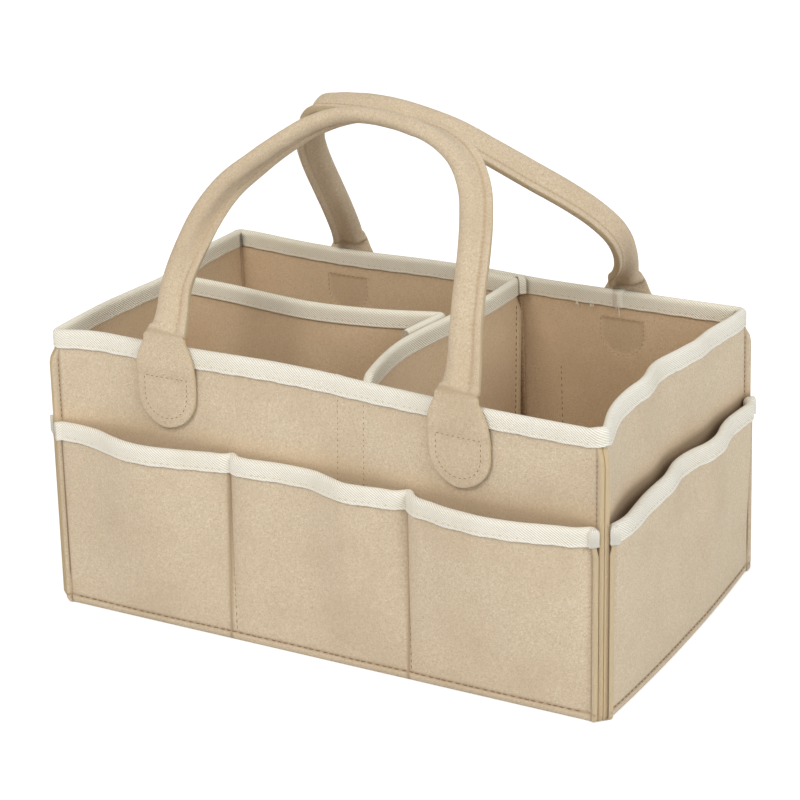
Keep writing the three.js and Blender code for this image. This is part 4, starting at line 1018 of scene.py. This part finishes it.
def make_handle(key, shares, rise, lean, twists, full, slope, fold_reach, neck_shade, painted_leg_shade):
    """One skin from tab to tab: over each neck the section turns from flat to round. Painted shade
    darkens the folds at the necks and the middle of the first leg."""
    side, body, shift = sides[key], key + "_handle", NECK_SHIFTS[key]
    order = np.array(TAB_PLACES[key])[::int(side.along[0])]
    line, across, normal, up, middle = handle_path(side, order + shift, shares, rise, np.radians(lean))
    heights, widths = tab_rows(slope, NECK_HALF * full)
    kept = line[NECK_SKIP:-NECK_SKIP]
    ease = np.linspace(0, 1, NECK_STEPS + 2)[1:-1]
    dx = widths[:, None] * ring_across
    arms, bends = [], []
    for place, target, beyond in zip(order, (kept[0], kept[-1]), (kept[1], kept[-2])):
        x = place + shift * (heights - TAB_BOTTOM) / (NECK_HEIGHT - TAB_BOTTOM)
        depth = tab_offset(heights) + FELT / 2
        arm = on_side(side, x, depth, heights) - across * SECTION_MIDDLE
        curved = on_side(side, x[:, None] + dx * np.sign(across[0]), depth[:, None], heights[:, None])
        bend = curved - (arm[:, None] + across * (SECTION_MIDDLE + dx)[..., None])
        bends.append(np.concatenate([bend, bend[-1] * ((1 - ease) ** 2)[:, None, None]]))
        toward = target - unit(beyond - target) * 3.0
        lift = arm[-1] + np.array([0, 0, 2.5])
        turn = ease[:, None]
        neck = ((1 - turn) ** 3 * arm[-1] + 3 * turn * (1 - turn) ** 2 * lift
                + 3 * turn ** 2 * (1 - turn) * toward + turn ** 3 * target)
        arms.append(np.concatenate([arm, neck]))
    path = np.concatenate([arms[0], kept, arms[1][::-1]])
    flat, length = len(heights), len(kept)
    tubeness = mirrored(np.zeros(flat), smooth(ease * 1.5), np.ones(length))
    neck_widths = np.interp(ease, [0, 0.35, 0.6, 1], [NECK_HALF, 12.2, 11.6, FINAL_HALF + 0.3]) * full
    ends = np.exp(-np.minimum(np.arange(length), np.arange(length)[::-1]) / 9.0)
    half = mirrored(widths, neck_widths, FINAL_HALF * (1 + (full - 0.97) * ends))
    twist_at = eased(twists)
    turn_in = twist_at(0.0) + (-90 - twist_at(0.0)) * (1 - ease)
    turn_out = twist_at(1.0) + (90 - twist_at(1.0)) * ease
    twist = np.radians(np.concatenate([np.full(flat, -90.0), turn_in, twist_at(np.linspace(0, 1, length)),
                                       turn_out, np.full(flat, 90.0)]))[:, None]
    tangent = unit(np.gradient(path, axis=0))
    outside = unit(np.cross(tangent, normal))
    deep = np.cross(outside, tangent)
    mix = tubeness[:, None]
    fin = unit((deep * np.cos(twist) + outside * np.sin(twist)) * mix + across * (1 - mix))
    thick = np.cross(tangent, fin)
    tube_x, tube_y = tube_outline()
    tab_x, tab_y = tab_outline(half)
    narrow = (half / FINAL_HALF)[:, None] * mix + (1 - mix)
    x = tab_x * (1 - mix) + (SECTION_MIDDLE + (tube_x - SECTION_MIDDLE) * narrow) * mix
    y = tab_y * (1 - mix) + tube_y * mix
    reach = reach_along(path)[:, None]
    crease = 0.18 * np.sin(reach / 3.1 + 2 * np.sin(reach / 17)) * np.sin(reach / 41)
    y = y + np.sign(y) * (crease * np.clip(1 - np.abs(x) / 7, 0, 1) * mix)
    rings = path[:, None] + fin[:, None] * x[..., None] + thick[:, None] * y[..., None]
    rings[:flat + NECK_STEPS] += bends[0]
    rings[-flat - NECK_STEPS:] += bends[1][::-1]
    raw = np.clip((np.abs(ring_across) - 0.95) / 0.03, 0, 1) * (1 - mix)
    raw = np.maximum(raw, np.clip((ring_across - 0.955) / 0.02, 0, 1) * mix)
    # Painted shade: dark in the folds at the necks, along the first leg and along the fin's row of
    # stitches.
    folded = np.exp(-((mix - 0.4) / fold_reach) ** 2) * (mix > 0.02) * neck_shade
    folded = np.maximum(folded, painted_leg_shade * np.exp(-((reach / reach[-1] - 0.26) / 0.09) ** 2))
    seam = np.exp(-((tube_x - FIN_STITCH) / 0.8) ** 2) * mix * 0.35
    solids = [body, key + "_left_tab", key + "_right_tab"]
    made = loft(key + "_handle_felt", rings, handle_felt, None, solids, raw=raw,
                painted_shade=np.maximum(folded, seam))
    low = middle - [0, 0, BLEND_BELOW]
    (low / 1000).tolist()
    ((low + up * BLEND_RUN) / 1000).tolist()
    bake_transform(made)
    span = slice(flat + NECK_STEPS, -flat - NECK_STEPS)
    turn = (np.arange(16) / 16 * 2 * np.pi)[:, None]
    core = (kept[:, None] + fin[span, None] * (CORD_WIDE * np.cos(turn))
            + thick[span, None] * (CORD_THICK * np.sin(turn)))
    loft(key + "_cord", core, cord_weave, body, [key + "_handle_core"])
    rows = []
    for lift in (thick[span], -thick[span]):
        rows.append((path[span] + fin[span] * FIN_STITCH + lift * (FIN_HALF - 0.6), lift))
    stitch_rows(key + "_fin_stitches", rows, fin_thread, body, pitch=3.2, length=2.0, radius=0.36, sink=0.0)
    rows, inner_rows = [], []
    turn = np.linspace(-np.pi / 2, np.pi / 2, 24)
    u_x = np.concatenate([np.full(8, -U_HALF), U_HALF * np.sin(turn), np.full(8, U_HALF),
                          np.linspace(U_HALF, -U_HALF, 12)])
    u_z = np.concatenate([np.linspace(U_TOP, U_ROUND + 1, 8), U_ROUND - U_HALF * np.cos(turn),
                          np.linspace(U_ROUND + 1, U_TOP, 8), np.full(12, U_TOP)])
    for place in order:
        x = place + shift * (u_z - TAB_BOTTOM) / (NECK_HEIGHT - TAB_BOTTOM) + u_x
        rows.append((on_side(side, x, tab_offset(u_z) + FELT, u_z), side.out))
        inner_rows.append((on_side(side, place + u_x, 0.0, u_z), -side.out))
    stitch_rows(key + "_tab_stitches", rows, dark_thread, "caddy", pitch=3.4, length=2.1, radius=0.2,
                sink=0.06)
    stitch_rows(key + "_tab_back_stitches", inner_rows, print_thread, "caddy", pitch=3.4, length=2.1,
                radius=0.24)


front_shares = [(-1.028, 0), (-1.03, 0.06), (-1.065, 0.2), (-1.045, 0.38), (-0.99, 0.53), (-0.9, 0.646),
                (-0.76, 0.747), (-0.61, 0.842), (-0.44, 0.93), (-0.25, 0.985), (-0.03, 1), (0.19, 0.987),
                (0.4, 0.956), (0.585, 0.886), (0.71, 0.778), (0.775, 0.658), (0.82, 0.53), (0.86, 0.38),
                (0.9, 0.25), (0.965, 0.06), (0.972, 0)]
back_shares = [(-1.02, 0), (-1.03, 0.06), (-1.056, 0.126), (-1.078, 0.215), (-1.079, 0.3),
               (-1.056, 0.366), (-0.958, 0.473), (-0.813, 0.57), (-0.621, 0.671), (-0.387, 0.791),
               (-0.185, 0.89), (0.01, 0.946), (0.164, 0.976), (0.341, 0.99), (0.517, 0.983),
               (0.612, 0.973), (0.7, 0.955), (0.768, 0.906), (0.82, 0.838), (0.872, 0.764),
               (0.91, 0.688), (0.928, 0.6), (0.935, 0.5), (0.936, 0.379), (0.94, 0.22),
               (0.955, 0.076), (0.975, 0)]
front_twists = [(0, -88), (0.06, -84), (0.13, -66), (0.21, -34), (0.3, -10), (0.45, 6), (0.55, 26),
                (0.66, 56), (0.8, 80), (0.92, 88), (1, 90)]
back_twists = [(0, -60), (0.05, -22), (0.12, 0), (0.3, 5), (0.45, 12), (0.55, 20), (0.65, 30), (0.8, 40),
               (0.92, 46), (1, 56)]
make_handle("front", front_shares, 158.0, 34, front_twists, full=1.18, slope=0.5, fold_reach=0.3,
            neck_shade=0.5, painted_leg_shade=0.26)
make_handle("back", back_shares, 157.0, 36, back_twists, full=1.0, slope=1.2, fold_reach=0.16,
            neck_shade=0.95, painted_leg_shade=0.0)


def thread_rings(points, radius):
    """A thin round thread's rings along a curve of points."""
    tangent = unit(np.gradient(points, axis=0))
    side = unit(np.cross(tangent, [0.3, 1.0, 0.2]))
    other = np.cross(side, tangent)
    turn = (np.arange(8) / 8 * 2 * np.pi)[:, None]
    return points[:, None] + radius * (side[:, None] * np.cos(turn) + other[:, None] * np.sin(turn))


# A few loose cream threads: where the rim tape's ends meet on the back, and along its hem there. Each
# has a place, a top, a drop, a swing to one side and a bend.
loose_thread = thread_finish("cream_thread", paint(214, 204, 184), paint(240, 233, 218))
for number, (x, top, drop, swing, bend) in enumerate([
        (101.6, RIM - 1.5, 11.5, -1.2, 1.0), (101.9, RIM - 2.5, 7.5, 1.5, -0.8),
        (102.2, RIM - 9.0, 7.5, 0.8, 0.7), (72.0, RIM - 10.2, 3.4, 2.4, 1.2),
        (73.4, RIM - 10.4, 2.8, -1.8, 0.6), (84.6, RIM - 10.2, 3.0, -2.6, 1.0),
        (83.0, RIM - 10.4, 2.2, 1.6, -0.9)]):
    share = np.linspace(0, 1, 14)
    arch = np.sin(share * np.pi)
    curve = on_side(sides["back"], x + swing * share ** 2 + bend * arch * 0.6,
                    -TAPE_PROUD - 0.75 - 0.5 * arch, top - drop * share)
    loft(f"loose_thread_{number + 1}", thread_rings(curve, 0.3), loose_thread, "caddy")

# The studio: a white floor that keeps the caddy's shadow, two large soft lamps in front and above, and
# a camera at the photograph's height and angle.
AZIMUTH, ELEVATION, ROLL = np.radians([27.425, 21.476, -0.468])
SIGHT = np.array([0.7298, -1.4129, 0.7545])
FLOOR_HALF, FLOOR_DROP = 9, -0.0003


def floor_finish():
    """A white floor: lit as it is, and a little brighter for the camera, so that only the shadow
    under the caddy stays below white."""
    made = bpy.data.materials.new("studio_white")
    made.use_nodes = True
    tree = Socket(made.node_tree, None)
    lit = tree.node("ShaderNodeBsdfDiffuse", {}, {"Color": (0.86, 0.86, 0.86, 1)})
    glow = tree.node("ShaderNodeEmission", {}, {"Color": (1, 1, 1, 1), "Strength": 0.46})
    both = tree.node("ShaderNodeAddShader", {}, {0: lit, 1: glow})
    seen = tree.node("ShaderNodeLightPath", {}, {}, output="Is Camera Ray")
    mixed = tree.node("ShaderNodeMixShader", {}, {0: seen, 1: lit, 2: both})
    made.node_tree.links.new(mixed.socket, made.node_tree.nodes["Material Output"].inputs["Surface"])
    return made


floor_mesh = bpy.data.meshes.new("studio_floor")
corners = [(-1, -1), (1, -1), (1, 1), (-1, 1)]
corners = [(FLOOR_HALF * x, FLOOR_HALF * y, FLOOR_DROP) for x, y in corners]
floor_mesh.from_pydata(corners, [], [(0, 1, 2, 3)])
floor = in_scene("studio_floor", floor_mesh)
floor_mesh.materials.append(floor_finish())
floor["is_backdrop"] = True

world = bpy.data.worlds.new("studio_air")
bpy.context.scene.world = world
world.use_nodes = True
air = Socket(world.node_tree, None)
seen = air.node("ShaderNodeLightPath", {}, {}, output="Is Camera Ray")
strength = seen * 0.4 + 0.6
warmth = seen.blend((1, 0.98, 0.95, 1), (1, 1, 1, 1))
world.node_tree.links.new(warmth.socket, world.node_tree.nodes["Background"].inputs["Color"])
world.node_tree.links.new(strength.socket, world.node_tree.nodes["Background"].inputs["Strength"])


def lamp(name, place, size, power, colour):
    """A square soft lamp that faces the caddy."""
    light = bpy.data.lights.new(name, "AREA")
    light.shape, light.size, light.energy, light.color = "SQUARE", size, power, colour
    made = in_scene(name, light)
    made.location = place
    made.rotation_mode = "QUATERNION"
    made.rotation_quaternion = (Vector((0, 0, 0.1)) - Vector(place)).to_track_quat("-Z", "Y")


lamp("key_lamp", (-0.3, -2.0, 2.2), 1.2, 33.2, (1.0, 1.0, 1.0))
lamp("fill_lamp", (2.3, -0.7, 1.4), 1.4, 30, (0.85, 0.93, 1.0))

back = np.array([np.sin(AZIMUTH), -np.cos(AZIMUTH), np.tan(ELEVATION)]) * np.cos(ELEVATION)
level = np.array([np.cos(AZIMUTH), np.sin(AZIMUTH), 0])
above = np.cross(back, level)
right = np.cos(ROLL) * level + np.sin(ROLL) * above
upward = -np.sin(ROLL) * level + np.cos(ROLL) * above
camera = in_scene("camera", bpy.data.cameras.new("camera"))
camera.matrix_world = Matrix.Translation(SIGHT) @ Matrix(np.stack([right, upward, back], axis=-1)).to_4x4()
camera.data.lens, camera.data.sensor_width = 119.87, 36.0
camera.data.clip_start, camera.data.clip_end = 0.05, 60.0
bpy.context.scene.camera = camera
bpy.context.scene.view_settings.view_transform = "Standard"

low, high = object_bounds()
